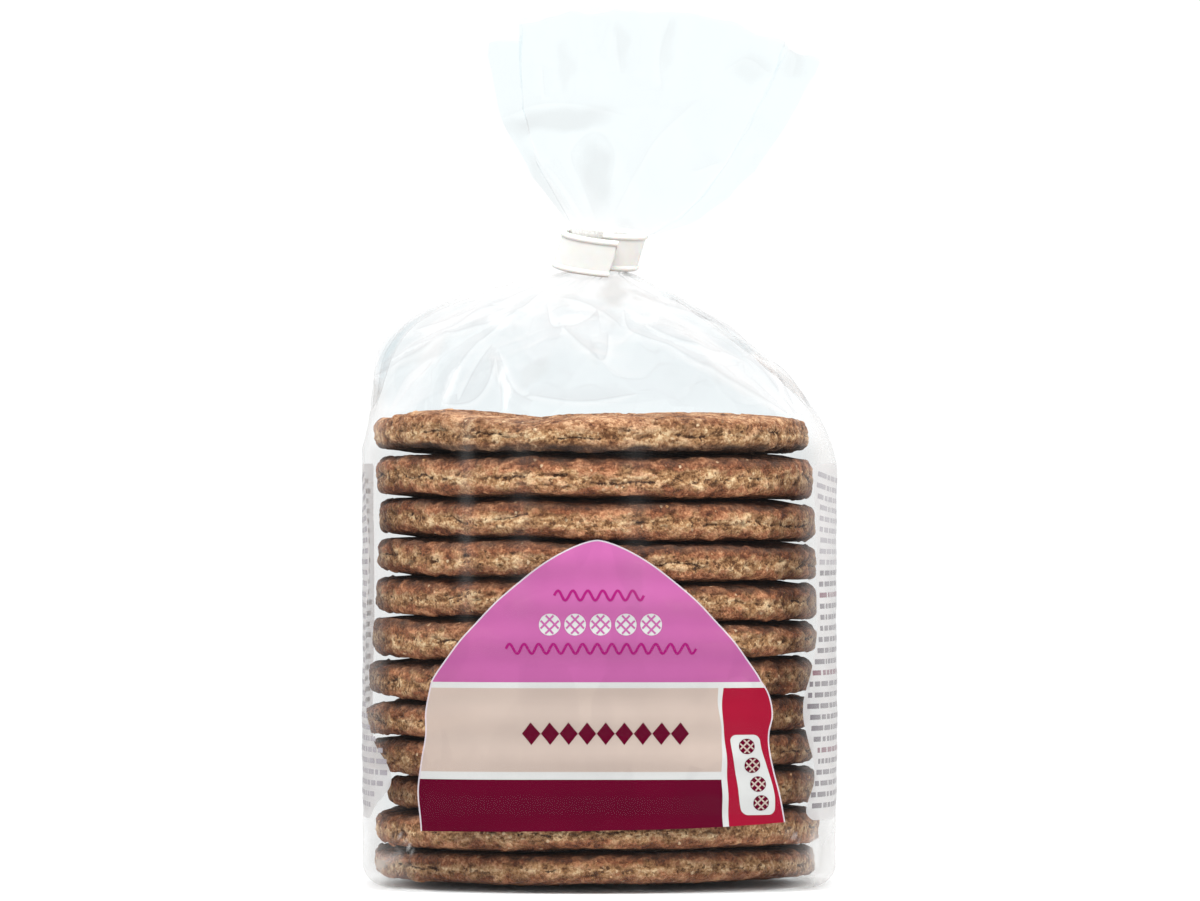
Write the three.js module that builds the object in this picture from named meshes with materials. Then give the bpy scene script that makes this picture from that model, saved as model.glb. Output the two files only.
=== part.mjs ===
// A clear film bag packed with a stack of round syrup wafers. The film stands square round the
// stack, closes over it in two unlike shoulders, is gathered into a neck and flares above it
// into a pleated fan. A wired strip is wound round the neck and holds it shut.
// Millimetres, +Z up, origin at the middle of the flat base, front towards -Y, +X to the right
// of someone who faces the front.

import * as THREE from 'three';
import { ParametricGeometry } from 'three/addons/geometries/ParametricGeometry.js';

const { lerp, clamp, degToRad } = THREE.MathUtils;

// Driving dimensions of the stack: how many wafers, and the height that each takes up.
const WAFER_COUNT = 12;
const WAFER_PITCH = 8.2;
const STACK_BASE = 1.2;
const STACK_TOP = STACK_BASE + WAFER_COUNT * WAFER_PITCH;

// The film round the stack: a square with round corners, rounded under at the foot, and drawn
// in a little between the rims of the wafers.
const BODY_HALF_WIDTH = 50;
const BODY_HALF_DEPTH = 47.5;
const BODY_SQUARENESS = 3.4;
const FOOT_HEIGHT = 5;
const FOOT_INSET = 5.2;
const FOOT_STEPS = [0, 0.2, 0.55];
const RIDGE_DEPTH = 0.6;

// The shoulders: the right one falls away early, the left one stands up like an ear. Both lean
// in a little lower down, by a share of their width.
const RIGHT_SHOULDER = { start: 88, power: 2, lean: 0.02 };
const LEFT_SHOULDER = { start: 92, power: 5, lean: 0.042 };
const DEPTH_SHOULDER = { start: 92, power: 2.6, lean: 0 };
const LEAN_PEAK = 4 / 27;
const SHOULDER_PLEATS = 12;
const SHOULDER_PLEAT_DEPTH = 3;
const SHOULDER_PLEAT_SKEW = 1.1;

// The neck leans to the right and tips towards the front, and the strip lies square to it.
const NECK_BOTTOM = 129;
const NECK_TOP = 137.6;
const NECK_HALF_WIDTH = 6.3;
const NECK_HALF_DEPTH = 2.9;
const NECK_SQUARENESS = 2.2;
const NECK_PLEAT_DEPTH = 0.35;
const NECK_SHIFT_BOTTOM = -0.3;
const NECK_SHIFT_TOP = 1.2;
const NECK_LEAN = degToRad(5);
const NECK_TIP = degToRad(12);
const NECK_MIDDLE = (NECK_BOTTOM + NECK_TOP) / 2;
const NECK_SLANT = NECK_HALF_WIDTH * Math.tan(NECK_LEAN);

// The fan spreads much further to the right than to the left, and its mouth is a shallow dish.
const FAN_LEFT_REACH = 23.5;
const FAN_LEFT_HEIGHT = 177.5;
const FAN_RIGHT_REACH = 46.7;
const FAN_RIGHT_HEIGHT = 173.2;
const FAN_CROWN = 9.6;
const FAN_HALF_DEPTH = 16;
const FAN_RUFFLES = 8;
const FAN_RUFFLE_DEPTH = 5.5;
const FAN_RUFFLE_SKEW = 0.9;
const FAN_DISH = 4;
const FAN_DISH_SHARE = 0.55;

// The closing strip: a flat band with a wire bead along each edge, wound once round and lapped
// in front, the end that comes from the left on top.
const STRIP_HEIGHT = 8;
const STRIP_THICKNESS = 0.55;
const BEAD_RADIUS = 0.65;
const STRIP_HALF_WIDTH = 7.7;
const STRIP_HALF_DEPTH = 4.2;
const STRIP_SPIRAL = 1.8;
const STRIP_START = degToRad(-120);
const STRIP_TURN = degToRad(420);

// How finely the surfaces are cut.
const AROUND = 80;
const SHOULDER_RINGS = 13;
const NECK_RINGS = 3;
const FAN_RINGS = 11;
const STRIP_STEPS = 72;
const BEAD_SEGMENTS = 5;

// Radius of a unit square with rounded corners: 2 is a circle, larger numbers are squarer.
function roundedSquare(angle, squareness) {
  const sum = Math.abs(Math.cos(angle)) ** squareness + Math.abs(Math.sin(angle)) ** squareness;
  return sum ** (-1 / squareness);
}

// How far in uneven pleats lie, 0 on a crest and 1 in a fold, with a crest at each side.
function pleat(angle, count, skew) {
  return 0.5 - 0.5 * Math.cos(count * angle + skew * Math.sin(2 * angle));
}

function shoulderPleat(angle) {
  return pleat(angle, SHOULDER_PLEATS, SHOULDER_PLEAT_SKEW);
}

function fanRuffle(angle) {
  return pleat(angle, FAN_RUFFLES, FAN_RUFFLE_SKEW);
}

// The share of its full width that a shoulder keeps at height z.
function shoulderShare(shoulder, z) {
  const climbed = clamp((z - shoulder.start) / (NECK_BOTTOM - shoulder.start), 0, 1);
  const leaned = shoulder.lean * climbed * (1 - climbed) ** 2 / LEAN_PEAK;
  return 1 - climbed ** shoulder.power - leaned;
}

// Where the neck's middle line is at height z, across and towards the front.
function neckShift(z) {
  return lerp(NECK_SHIFT_BOTTOM, NECK_SHIFT_TOP, (z - NECK_BOTTOM) / (NECK_TOP - NECK_BOTTOM));
}

function neckForward(z) {
  return -(z - NECK_MIDDLE) * Math.tan(NECK_TIP);
}

// A ring of film has its left and right ends in the XZ plane, its middle and half depth along
// Y, the squareness of its outline, the angle it tips by, and how far in each fold of it lies.
function bodyRing(z, inset, ridge) {
  return {
    left: [-(BODY_HALF_WIDTH - inset), z],
    right: [BODY_HALF_WIDTH - inset, z],
    middle: 0,
    depth: BODY_HALF_DEPTH - inset,
    squareness: BODY_SQUARENESS,
    tip: 0,
    crown: 0,
    fold: (angle) => ridge * Math.abs(Math.cos(2 * angle)),
  };
}

function footRings() {
  return FOOT_STEPS.map((share) => {
    const drawnIn = 1 - Math.sqrt(1 - (1 - share) ** 2);
    return bodyRing(FOOT_HEIGHT * share, FOOT_INSET * drawnIn, 0);
  });
}

// One ring on the rim of each wafer, where the film bulges, and one in each gap.
function stackRings() {
  const rings = [];
  for (let k = 0; k < WAFER_COUNT; k += 1) {
    const rim = STACK_BASE + (k + 0.5) * WAFER_PITCH;
    const gap = STACK_BASE + (k + 1) * WAFER_PITCH;
    if (rim < RIGHT_SHOULDER.start) rings.push(bodyRing(rim, 0, 0));
    if (gap < RIGHT_SHOULDER.start) rings.push(bodyRing(gap, 0, RIDGE_DEPTH));
  }
  return rings;
}

function shoulderRings() {
  const rings = [];
  for (let k = 0; k < SHOULDER_RINGS; k += 1) {
    const climbed = k / SHOULDER_RINGS;
    const z = lerp(RIGHT_SHOULDER.start, NECK_BOTTOM, 1 - (1 - climbed) ** 1.5);
    const right = shoulderShare(RIGHT_SHOULDER, z);
    const left = shoulderShare(LEFT_SHOULDER, z);
    const deep = shoulderShare(DEPTH_SHOULDER, z);
    const above = clamp((z - STACK_TOP) / (NECK_BOTTOM - STACK_TOP), 0, 1);
    const swell = Math.sin(Math.PI * above ** 0.75);
    const pleats = SHOULDER_PLEAT_DEPTH * swell + NECK_PLEAT_DEPTH * above;
    const gathered = climbed ** 3;
    rings.push({
      left: [lerp(NECK_SHIFT_BOTTOM - NECK_HALF_WIDTH, -BODY_HALF_WIDTH, left), z],
      right: [lerp(NECK_SHIFT_BOTTOM + NECK_HALF_WIDTH, BODY_HALF_WIDTH, right), z],
      middle: neckForward(NECK_BOTTOM) * gathered,
      depth: lerp(NECK_HALF_DEPTH, BODY_HALF_DEPTH, deep),
      squareness: lerp(NECK_SQUARENESS, BODY_SQUARENESS, deep),
      tip: NECK_TIP * gathered,
      crown: 0,
      fold: (angle) => pleats * shoulderPleat(angle),
    });
  }
  return rings;
}

function neckRings() {
  const rings = [];
  for (let k = 0; k <= NECK_RINGS; k += 1) {
    const z = lerp(NECK_BOTTOM, NECK_TOP, k / NECK_RINGS);
    rings.push({
      left: [neckShift(z) - NECK_HALF_WIDTH, z + NECK_SLANT],
      right: [neckShift(z) + NECK_HALF_WIDTH, z - NECK_SLANT],
      middle: neckForward(z),
      depth: NECK_HALF_DEPTH,
      squareness: NECK_SQUARENESS,
      tip: NECK_TIP,
      crown: 0,
      fold: (angle) => NECK_PLEAT_DEPTH * shoulderPleat(angle),
    });
  }
  return rings;
}

// The fan's left edge rises in a straight flare and its right edge sweeps out before it rises.
function fanRings() {
  const rings = [];
  for (let k = 1; k <= FAN_RINGS; k += 1) {
    const climbed = k / FAN_RINGS;
    const leftFlare = 1 - (1 - climbed) ** 2;
    const rightFlare = climbed ** 0.9;
    const opened = climbed ** 0.8;
    rings.push({
      left: [
        lerp(NECK_SHIFT_TOP - NECK_HALF_WIDTH, -FAN_LEFT_REACH, leftFlare),
        lerp(NECK_TOP + NECK_SLANT, FAN_LEFT_HEIGHT, climbed),
      ],
      right: [
        lerp(NECK_SHIFT_TOP + NECK_HALF_WIDTH, FAN_RIGHT_REACH, rightFlare),
        lerp(NECK_TOP - NECK_SLANT, FAN_RIGHT_HEIGHT, climbed ** 2),
      ],
      middle: neckForward(NECK_TOP) * (1 - climbed),
      depth: lerp(NECK_HALF_DEPTH, FAN_HALF_DEPTH, opened),
      squareness: 2,
      tip: NECK_TIP * (1 - climbed),
      crown: FAN_CROWN * climbed ** 2,
      fold: (angle) => FAN_RUFFLE_DEPTH * opened * fanRuffle(angle),
    });
  }
  return rings;
}

// A point of a ring at an angle: 0 is the right side, a quarter turn is the back.
function pointOnRing(ring, angle, scale = 1) {
  const halfAcross = (ring.right[0] - ring.left[0]) / 2;
  const halfSlope = (ring.right[1] - ring.left[1]) / 2;
  const round = roundedSquare(angle, ring.squareness);
  const reach = Math.hypot(halfAcross * Math.cos(angle), ring.depth * Math.sin(angle));
  const folded = 1 - ring.fold(angle) / reach;
  const across = Math.cos(angle) * round * folded * scale;
  const back = Math.sin(angle) * round * folded * scale * ring.depth;
  const rise = ring.crown * Math.sqrt(1 - (Math.cos(angle) * round) ** 2);
  return new THREE.Vector3(
    (ring.left[0] + ring.right[0]) / 2 + across * halfAcross,
    ring.middle + back * Math.cos(ring.tip),
    (ring.left[1] + ring.right[1]) / 2 + across * halfSlope + back * Math.sin(ring.tip) + rise,
  );
}

// The bag as one closed skin through all its rings, with a flat base and a dished mouth.
function bagGeometry() {
  const rings = [
    ...footRings(), ...stackRings(), ...shoulderRings(), ...neckRings(), ...fanRings(),
  ];
  const rim = rings.at(-1);
  const rimMiddle = [(rim.left[0] + rim.right[0]) / 2, (rim.left[1] + rim.right[1]) / 2];
  const stacks = rings.length + 2;
  const surface = (u, v, target) => {
    const row = Math.round(v * stacks);
    const angle = 2 * Math.PI * (Math.round(u * AROUND) % AROUND) / AROUND;
    if (row === 0) {
      target.set(0, 0, 0);
    } else if (row <= rings.length) {
      target.copy(pointOnRing(rings[row - 1], angle));
    } else if (row === rings.length + 1) {
      target.copy(pointOnRing(rim, angle, FAN_DISH_SHARE));
      target.z -= FAN_DISH;
    } else {
      target.set(rimMiddle[0], rim.middle, rimMiddle[1] + FAN_CROWN - FAN_DISH);
    }
  };
  return new ParametricGeometry(surface, AROUND, stacks);
}

// The closing strip's line: an oval that grows a little all the way round, so its ends lap.
class StripLine extends THREE.Curve {
  getPoint(t, target = new THREE.Vector3()) {
    const angle = STRIP_START + t * STRIP_TURN;
    const grown = t * STRIP_SPIRAL;
    return target.set(
      (STRIP_HALF_WIDTH + grown) * Math.cos(angle),
      (STRIP_HALF_DEPTH + grown) * Math.sin(angle),
      0,
    );
  }
}

// Section of the strip: a thin web between two round beads.
function stripSection() {
  const web = STRIP_THICKNESS / 2;
  const beadCentre = STRIP_HEIGHT / 2 - BEAD_RADIUS;
  const meets = Math.asin(web / BEAD_RADIUS);
  const section = new THREE.Shape();
  section.absarc(beadCentre, 0, BEAD_RADIUS, -Math.PI + meets, Math.PI - meets, false);
  section.absarc(-beadCentre, 0, BEAD_RADIUS, meets, 2 * Math.PI - meets, false);
  section.closePath();
  return section;
}

function stripGeometry() {
  return new THREE.ExtrudeGeometry(stripSection(), {
    steps: STRIP_STEPS,
    curveSegments: BEAD_SEGMENTS,
    extrudePath: new StripLine(),
  });
}

function filmMaterial() {
  return new THREE.MeshStandardMaterial({ color: 0xdfe6e8, roughness: 0.15, metalness: 0 });
}

function stripMaterial() {
  return new THREE.MeshStandardMaterial({ color: 0xf3f4ef, roughness: 0.45, metalness: 0 });
}

function buildBag() {
  const bag = new THREE.Mesh(bagGeometry(), filmMaterial());
  bag.name = 'bag';
  return bag;
}

function buildStrip() {
  const strip = new THREE.Mesh(stripGeometry(), stripMaterial());
  strip.name = 'closing_strip';
  strip.position.set(neckShift(NECK_MIDDLE), neckForward(NECK_MIDDLE), NECK_MIDDLE);
  strip.rotation.set(NECK_TIP, NECK_LEAN, 0);
  return strip;
}

const pack = new THREE.Group();
pack.add(buildBag(), buildStrip());

export default pack;
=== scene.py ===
"""Looks for a clear film bag of syrup wafers: the film, its print, the wafers and the strip.

Lengths are in millimetres until a mesh is made, and +X is to the right of someone who faces the
printed front, which looks towards -Y.
"""

import itertools
import logging
import math
from dataclasses import dataclass, field
from enum import Enum
from typing import Callable, Sequence

import bpy
import numpy as np
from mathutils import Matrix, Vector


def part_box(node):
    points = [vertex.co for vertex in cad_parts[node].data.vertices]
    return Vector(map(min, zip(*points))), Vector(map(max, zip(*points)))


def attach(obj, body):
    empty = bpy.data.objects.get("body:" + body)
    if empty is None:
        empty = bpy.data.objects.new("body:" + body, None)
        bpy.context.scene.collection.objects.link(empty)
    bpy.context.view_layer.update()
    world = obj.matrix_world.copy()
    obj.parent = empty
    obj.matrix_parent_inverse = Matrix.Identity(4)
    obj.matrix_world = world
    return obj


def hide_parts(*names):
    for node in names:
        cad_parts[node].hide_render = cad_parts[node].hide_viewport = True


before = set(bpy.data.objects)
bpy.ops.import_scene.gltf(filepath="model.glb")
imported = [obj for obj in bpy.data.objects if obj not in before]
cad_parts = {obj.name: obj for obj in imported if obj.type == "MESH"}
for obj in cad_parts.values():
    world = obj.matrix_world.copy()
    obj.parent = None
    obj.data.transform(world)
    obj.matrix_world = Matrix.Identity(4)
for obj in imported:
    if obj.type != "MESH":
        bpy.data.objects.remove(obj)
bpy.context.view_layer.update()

MM = 0.001
BODY = "root"
LOG = logging.getLogger("bag")

Array = np.ndarray
Socket = bpy.types.NodeSocket
Piece = bpy.types.Object
Material = bpy.types.Material
Pair = tuple[float, float]
Triple = tuple[float, float, float]
Colour = Triple


def srgb(red: int, green: int, blue: int) -> Colour:
    """Turns screen values from 0 to 255 into the linear colour that a shader takes.

    Args:
        red: Red, from 0 to 255.
        green: Green, from 0 to 255.
        blue: Blue, from 0 to 255.

    Returns:
        The linear colour.
    """
    def linear(value: int) -> float:
        """Turns one screen value into a linear one."""
        share = value / 255
        return share / 12.92 if share <= 0.04045 else ((share + 0.055) / 1.055) ** 2.4
    return linear(red), linear(green), linear(blue)


def smoothstep(low: float, high: float, value: Array) -> Array:
    """Rises smoothly from 0 at low to 1 at high, or falls where low is the larger."""
    share = np.clip((value - low) / (high - low), 0, 1)
    return share * share * (3 - 2 * share)


def lerp(first: Array, second: Array, share: Array) -> Array:
    """Goes from first to second as share goes from 0 to 1."""
    return first + (second - first) * share


def crowded(count: int) -> Array:
    """Gives shares from 0 to 1 that lie closer together towards both ends."""
    return 0.5 - 0.5 * np.cos(np.linspace(0, np.pi, count))


@dataclass(frozen=True)
class Curve:
    """A smooth line through a few stops, read as one length by another.

    Attributes:
        stops: Pairs of the length it is read by and the length it gives.
    """

    stops: tuple[Pair, ...]

    def __call__(self, where: Array) -> Array:
        """Reads the line at every place, and keeps its end values beyond its ends.

        Args:
            where: Lengths that the line is read by.

        Returns:
            The lengths that the line gives.
        """
        at, value = np.array(sorted(self.stops)).T
        slope = np.gradient(value, at)
        where = np.clip(where, at[0], at[-1])
        index = np.clip(np.searchsorted(at, where, side="right") - 1, 0, len(at) - 2)
        gap = at[index + 1] - at[index]
        share = (where - at[index]) / gap
        leaving = slope[index] * gap * share * (1 - share) ** 2
        arriving = slope[index + 1] * gap * share ** 2 * (1 - share)
        blend = share * share * (3 - 2 * share)
        return lerp(value[index], value[index + 1], blend) + leaving - arriving


# ---- noise and mesh helpers


class Grain:
    """Smooth noise from a seeded lattice, worked out for whole arrays of points."""

    LATTICE = 256
    SWING = 1.55

    def __init__(self, seed: int) -> None:
        """Draws the lattice.

        Args:
            seed: Number that fixes the whole pattern.
        """
        draw = np.random.default_rng(seed)
        self.order = draw.permutation(self.LATTICE)
        slopes = draw.normal(size=(self.LATTICE, 3))
        self.slopes = slopes / np.linalg.norm(slopes, axis=1, keepdims=True)

    def _slope_at(self, cell: Array) -> Array:
        """Looks up the lattice slope at each whole-numbered cell corner.

        Args:
            cell: Corners, with three whole numbers along the last axis.

        Returns:
            A unit slope for each corner.
        """
        mask = self.LATTICE - 1
        index = self.order[cell[..., 0] & mask]
        index = self.order[(index + cell[..., 1]) & mask]
        index = self.order[(index + cell[..., 2]) & mask]
        return self.slopes[index]

    def smooth(self, points: Array) -> Array:
        """Gives one octave of noise.

        Args:
            points: Places, with three numbers along the last axis.

        Returns:
            Values from about -1 to 1, in the shape of points without its last axis.
        """
        cell = np.floor(points).astype(np.int64)
        inner = points - cell
        fade = inner ** 3 * (inner * (inner * 6 - 15) + 10)
        total = np.zeros(points.shape[:-1])
        for corner in itertools.product((0, 1), repeat=3):
            step = np.array(corner)
            weight = np.where(step == 1, fade, 1 - fade).prod(axis=-1)
            total += weight * (self._slope_at(cell + step) * (inner - step)).sum(axis=-1)
        return total * self.SWING

    def rough(self, points: Array, octaves: int, gain: float = 0.5) -> Array:
        """Adds octaves of noise, each twice as fine as the one before.

        Args:
            points: Places, with three numbers along the last axis.
            octaves: How many layers are added.
            gain: How tall each layer is next to the one before.

        Returns:
            Values from about -1 to 1.
        """
        total = np.zeros(points.shape[:-1])
        for octave in range(octaves):
            total += gain ** octave * self.smooth(points * 2 ** octave + 17.3 * octave)
        return total


class SheetMesh:
    """A grid of points turned into a mesh object, in metres."""

    def __init__(self, name: str, points: Array, closed: bool) -> None:
        """Sets up a grid.

        Args:
            name: Name of the object that is made.
            points: Rows of points in millimetres, as an array of rows, columns and 3.
            closed: Whether each row joins up into a ring.
        """
        self.name = name
        self.points = points
        self.closed = closed
        self.extra_points: list[Array] = []
        self.extra_faces: list[tuple[int, ...]] = []

    def cap(self, row: int, tip: Array) -> None:
        """Closes a ring with a fan of triangles round a tip.

        Args:
            row: The ring that is closed: 0 or -1.
            tip: The point that the triangles meet in.
        """
        rows, columns = self.points.shape[:2]
        centre = rows * columns + len(self.extra_points)
        self.extra_points.append(tip)
        start = 0 if row == 0 else (rows - 1) * columns
        for column in range(columns):
            here, following = start + column, start + (column + 1) % columns
            corners = (centre, following, here) if row == 0 else (centre, here, following)
            self.extra_faces.append(corners)

    def _faces(self) -> list[tuple[int, ...]]:
        """Lists the grid's faces, turned outwards for a ring that runs counterclockwise.

        Returns:
            Each face as its corners' numbers.
        """
        rows, columns = self.points.shape[:2]
        lower = np.arange(rows - 1)[:, None] * columns
        column = np.arange(columns if self.closed else columns - 1)[None]
        following = (column + 1) % columns
        quads = np.stack(
            [lower + column, lower + following, lower + columns + following, lower + columns + column],
            axis=-1,
        )
        return [tuple(q) for q in quads.reshape(-1, 4).tolist()] + self.extra_faces

    def build(self, material: Material, **marks: Array) -> Piece:
        """Makes the object.

        Args:
            material: Its finish.
            **marks: Values for each grid point, kept as attributes that the finish reads.

        Returns:
            The new object, in the scene.
        """
        flat = [tuple(p) for p in (self.points.reshape(-1, 3) * MM).tolist()]
        flat += [tuple(p * MM) for p in self.extra_points]
        made = mesh_object(self.name, flat, self._faces(), material)
        for mark, values in marks.items():
            padded = np.zeros(len(flat), np.float32)
            padded[: values.size] = values.reshape(-1)
            made.data.attributes.new(mark, "FLOAT", "POINT").data.foreach_set("value", padded)
        return made


def mesh_object(
    name: str,
    vertices: Sequence[Sequence[float]],
    faces: Sequence[tuple[int, ...]],
    material: Material,
) -> Piece:
    """Makes a smooth-shaded mesh object and links it to the scene.

    Args:
        name: Name of the object and its mesh.
        vertices: Points in metres.
        faces: Corners of each face.
        material: Its finish.

    Returns:
        The new object.
    """
    mesh = bpy.data.meshes.new(name)
    mesh.from_pydata(vertices, [], faces)
    mesh.materials.append(material)
    mesh.shade_smooth()
    made = bpy.data.objects.new(name, mesh)
    bpy.context.scene.collection.objects.link(made)
    return made


def grid_normals(points: Array, closed: bool) -> Array:
    """Works out outward normals on a grid of points.

    Args:
        points: Rows of points, counterclockwise from above and from the bottom up.
        closed: Whether each row joins up into a ring.

    Returns:
        A unit normal for each point.
    """
    if closed:
        along = np.roll(points, -1, axis=1) - np.roll(points, 1, axis=1)
    else:
        along = np.gradient(points, axis=1)
    up = np.gradient(points, axis=0)
    normal = np.cross(along, up)
    return normal / np.maximum(np.linalg.norm(normal, axis=-1, keepdims=True), 1e-9)


# ---- finishes


def add_node(
    tree: bpy.types.NodeTree, kind: str, inputs: dict | None = None, **settings: object
) -> bpy.types.Node:
    """Adds a node to a tree.

    Args:
        tree: The nodes it joins.
        kind: The node's type.
        inputs: Input names or numbers, each with a constant or the socket it is fed by.
        **settings: The node's own options.

    Returns:
        The new node.
    """
    made = tree.nodes.new(kind)
    for key, value in settings.items():
        setattr(made, key, value)
    for key, value in (inputs or {}).items():
        if isinstance(value, Socket):
            tree.links.new(value, made.inputs[key])
        else:
            made.inputs[key].default_value = value
    return made


class Shader:
    """A node material that is being put together."""

    def __init__(self, name: str) -> None:
        """Starts an empty material.

        Args:
            name: The material's name.
        """
        self.material = bpy.data.materials.new(name)
        self.material.use_nodes = True
        self.tree = self.material.node_tree
        self.tree.nodes.clear()
        self.place = self.node("ShaderNodeTexCoord").outputs["Object"]

    def node(self, kind: str, inputs: dict | None = None, **settings: object) -> bpy.types.Node:
        """Adds a node to the material."""
        return add_node(self.tree, kind, inputs, **settings)

    def maths(self, operation: str, *values: float | Socket, clamp: bool = False) -> Socket:
        """Adds a Math node and returns its value.

        Args:
            operation: Blender's name for the sum.
            values: What goes in.
            clamp: Whether to keep the result from 0 to 1.

        Returns:
            The result.
        """
        inputs = dict(enumerate(values))
        made = self.node("ShaderNodeMath", inputs, operation=operation, use_clamp=clamp)
        return made.outputs[0]

    def mark(self, name: str) -> Socket:
        """Reads a value that was kept on the mesh."""
        made = self.node("ShaderNodeAttribute", attribute_name=name)
        return made.outputs["Fac"]

    def flattened(self, squash: float) -> Socket:
        """Gives a place whose patterns come out lower than they are wide."""
        inputs = {"Vector": self.place, "Scale": (1.0, 1.0, squash)}
        return self.node("ShaderNodeMapping", inputs).outputs[0]

    def noise(
        self, size: float, detail: float = 2.0, roughness: float = 0.5, squash: float = 1.0
    ) -> Socket:
        """Adds noise whose lumps are about size millimetres across, and lower by squash.

        Args:
            size: How wide the lumps are.
            detail: How many finer layers are added.
            roughness: How strong the finer layers are.
            squash: How many times lower than wide the lumps are.

        Returns:
            A value from 0 to 1.
        """
        inputs = {
            "Vector": self.place if squash == 1.0 else self.flattened(squash),
            "Scale": 1 / (size * MM),
            "Detail": detail,
            "Roughness": roughness,
        }
        return self.node("ShaderNodeTexNoise", inputs).outputs["Fac"]

    def grains(self, size: float) -> tuple[Socket, Socket]:
        """Packs crooked grains of one size: a tone for each, and the distance from its middle."""
        return self.cells(self.shifted(self.place, size / 1.6, size / 2), size)

    def shifted(self, place: Socket, size: float, swing: float) -> Socket:
        """Moves a place about by noise with lumps of one size, by up to swing millimetres.

        Args:
            place: The place.
            size: The noise's lump size in millimetres.
            swing: How far it moves in millimetres.

        Returns:
            The moved place.
        """
        noise = self.node("ShaderNodeTexNoise", {"Vector": place, "Scale": 1 / (size * MM), "Detail": 1.0})
        inputs = {0: noise.outputs["Color"], 1: (swing * MM,) * 3, 2: place}
        return self.node("ShaderNodeVectorMath", inputs, operation="MULTIPLY_ADD").outputs[0]

    def cells(self, place: Socket, size: float) -> tuple[Socket, Socket]:
        """Splits a place into cells of one size: a tone for each, and the distance from its middle."""
        cells = self.node("ShaderNodeTexVoronoi", {"Vector": place, "Scale": 1 / (size * MM)}).outputs
        return self.node("ShaderNodeSeparateColor", {0: cells["Color"]}).outputs[0], cells["Distance"]

    def blend(self, *parts: tuple[Socket, float]) -> Socket:
        """Adds up values, each with its own weight, and keeps the sum from 0 to 1.

        Args:
            parts: Each value with its weight.

        Returns:
            The sum.
        """
        total: float | Socket = 0.0
        for value, weight in parts:
            total = self.maths("MULTIPLY_ADD", value, weight, total)
        return self.maths("ADD", total, 0.0, clamp=True)

    def ramp(self, share: Socket, stops: Sequence[tuple[float, Colour]]) -> Socket:
        """Turns a value into a colour through the stops given.

        Args:
            share: The value, from 0 to 1.
            stops: Positions and their colours, in order.

        Returns:
            The colour.
        """
        made = self.node("ShaderNodeValToRGB", {"Fac": share})
        elements = made.color_ramp.elements
        while len(elements) < len(stops):
            elements.new(0.5)
        for element, (position, colour) in zip(elements, stops):
            element.position = position
            element.color = (*colour, 1)
        return made.outputs["Color"]

    def window(self, value: Socket, low: float, high: float) -> Socket:
        """Stretches a value so that low becomes 0 and high becomes 1, without going past."""
        inputs = {"Value": value, "From Min": low, "From Max": high}
        return self.node("ShaderNodeMapRange", inputs, clamp=True).outputs["Result"]

    def mix(self, share: float | Socket, first: Socket | tuple, second: Socket | tuple) -> Socket:
        """Mixes two colours.

        Args:
            share: How much of the second colour.
            first: The first colour.
            second: The second colour.

        Returns:
            The mixed colour.
        """
        padded = [(*c, 1) if isinstance(c, tuple) else c for c in (first, second)]
        inputs = {0: share, 6: padded[0], 7: padded[1]}
        return self.node("ShaderNodeMix", inputs, data_type="RGBA").outputs[2]

    def bump(self, height: Socket, depth: float, strength: float = 1.0) -> Socket:
        """Adds fine relief that is depth millimetres deep."""
        inputs = {"Height": height, "Distance": depth * MM, "Strength": strength}
        return self.node("ShaderNodeBump", inputs).outputs["Normal"]

    def mix_shaders(self, share: float | Socket, first: Socket, second: Socket) -> Socket:
        """Mixes two shaders."""
        return self.node("ShaderNodeMixShader", {0: share, 1: first, 2: second}).outputs[0]

    def finish(self, surface: Socket) -> Material:
        """Joins the surface to the output and hands the material over."""
        self.node("ShaderNodeOutputMaterial", {"Surface": surface})
        return self.material


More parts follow.
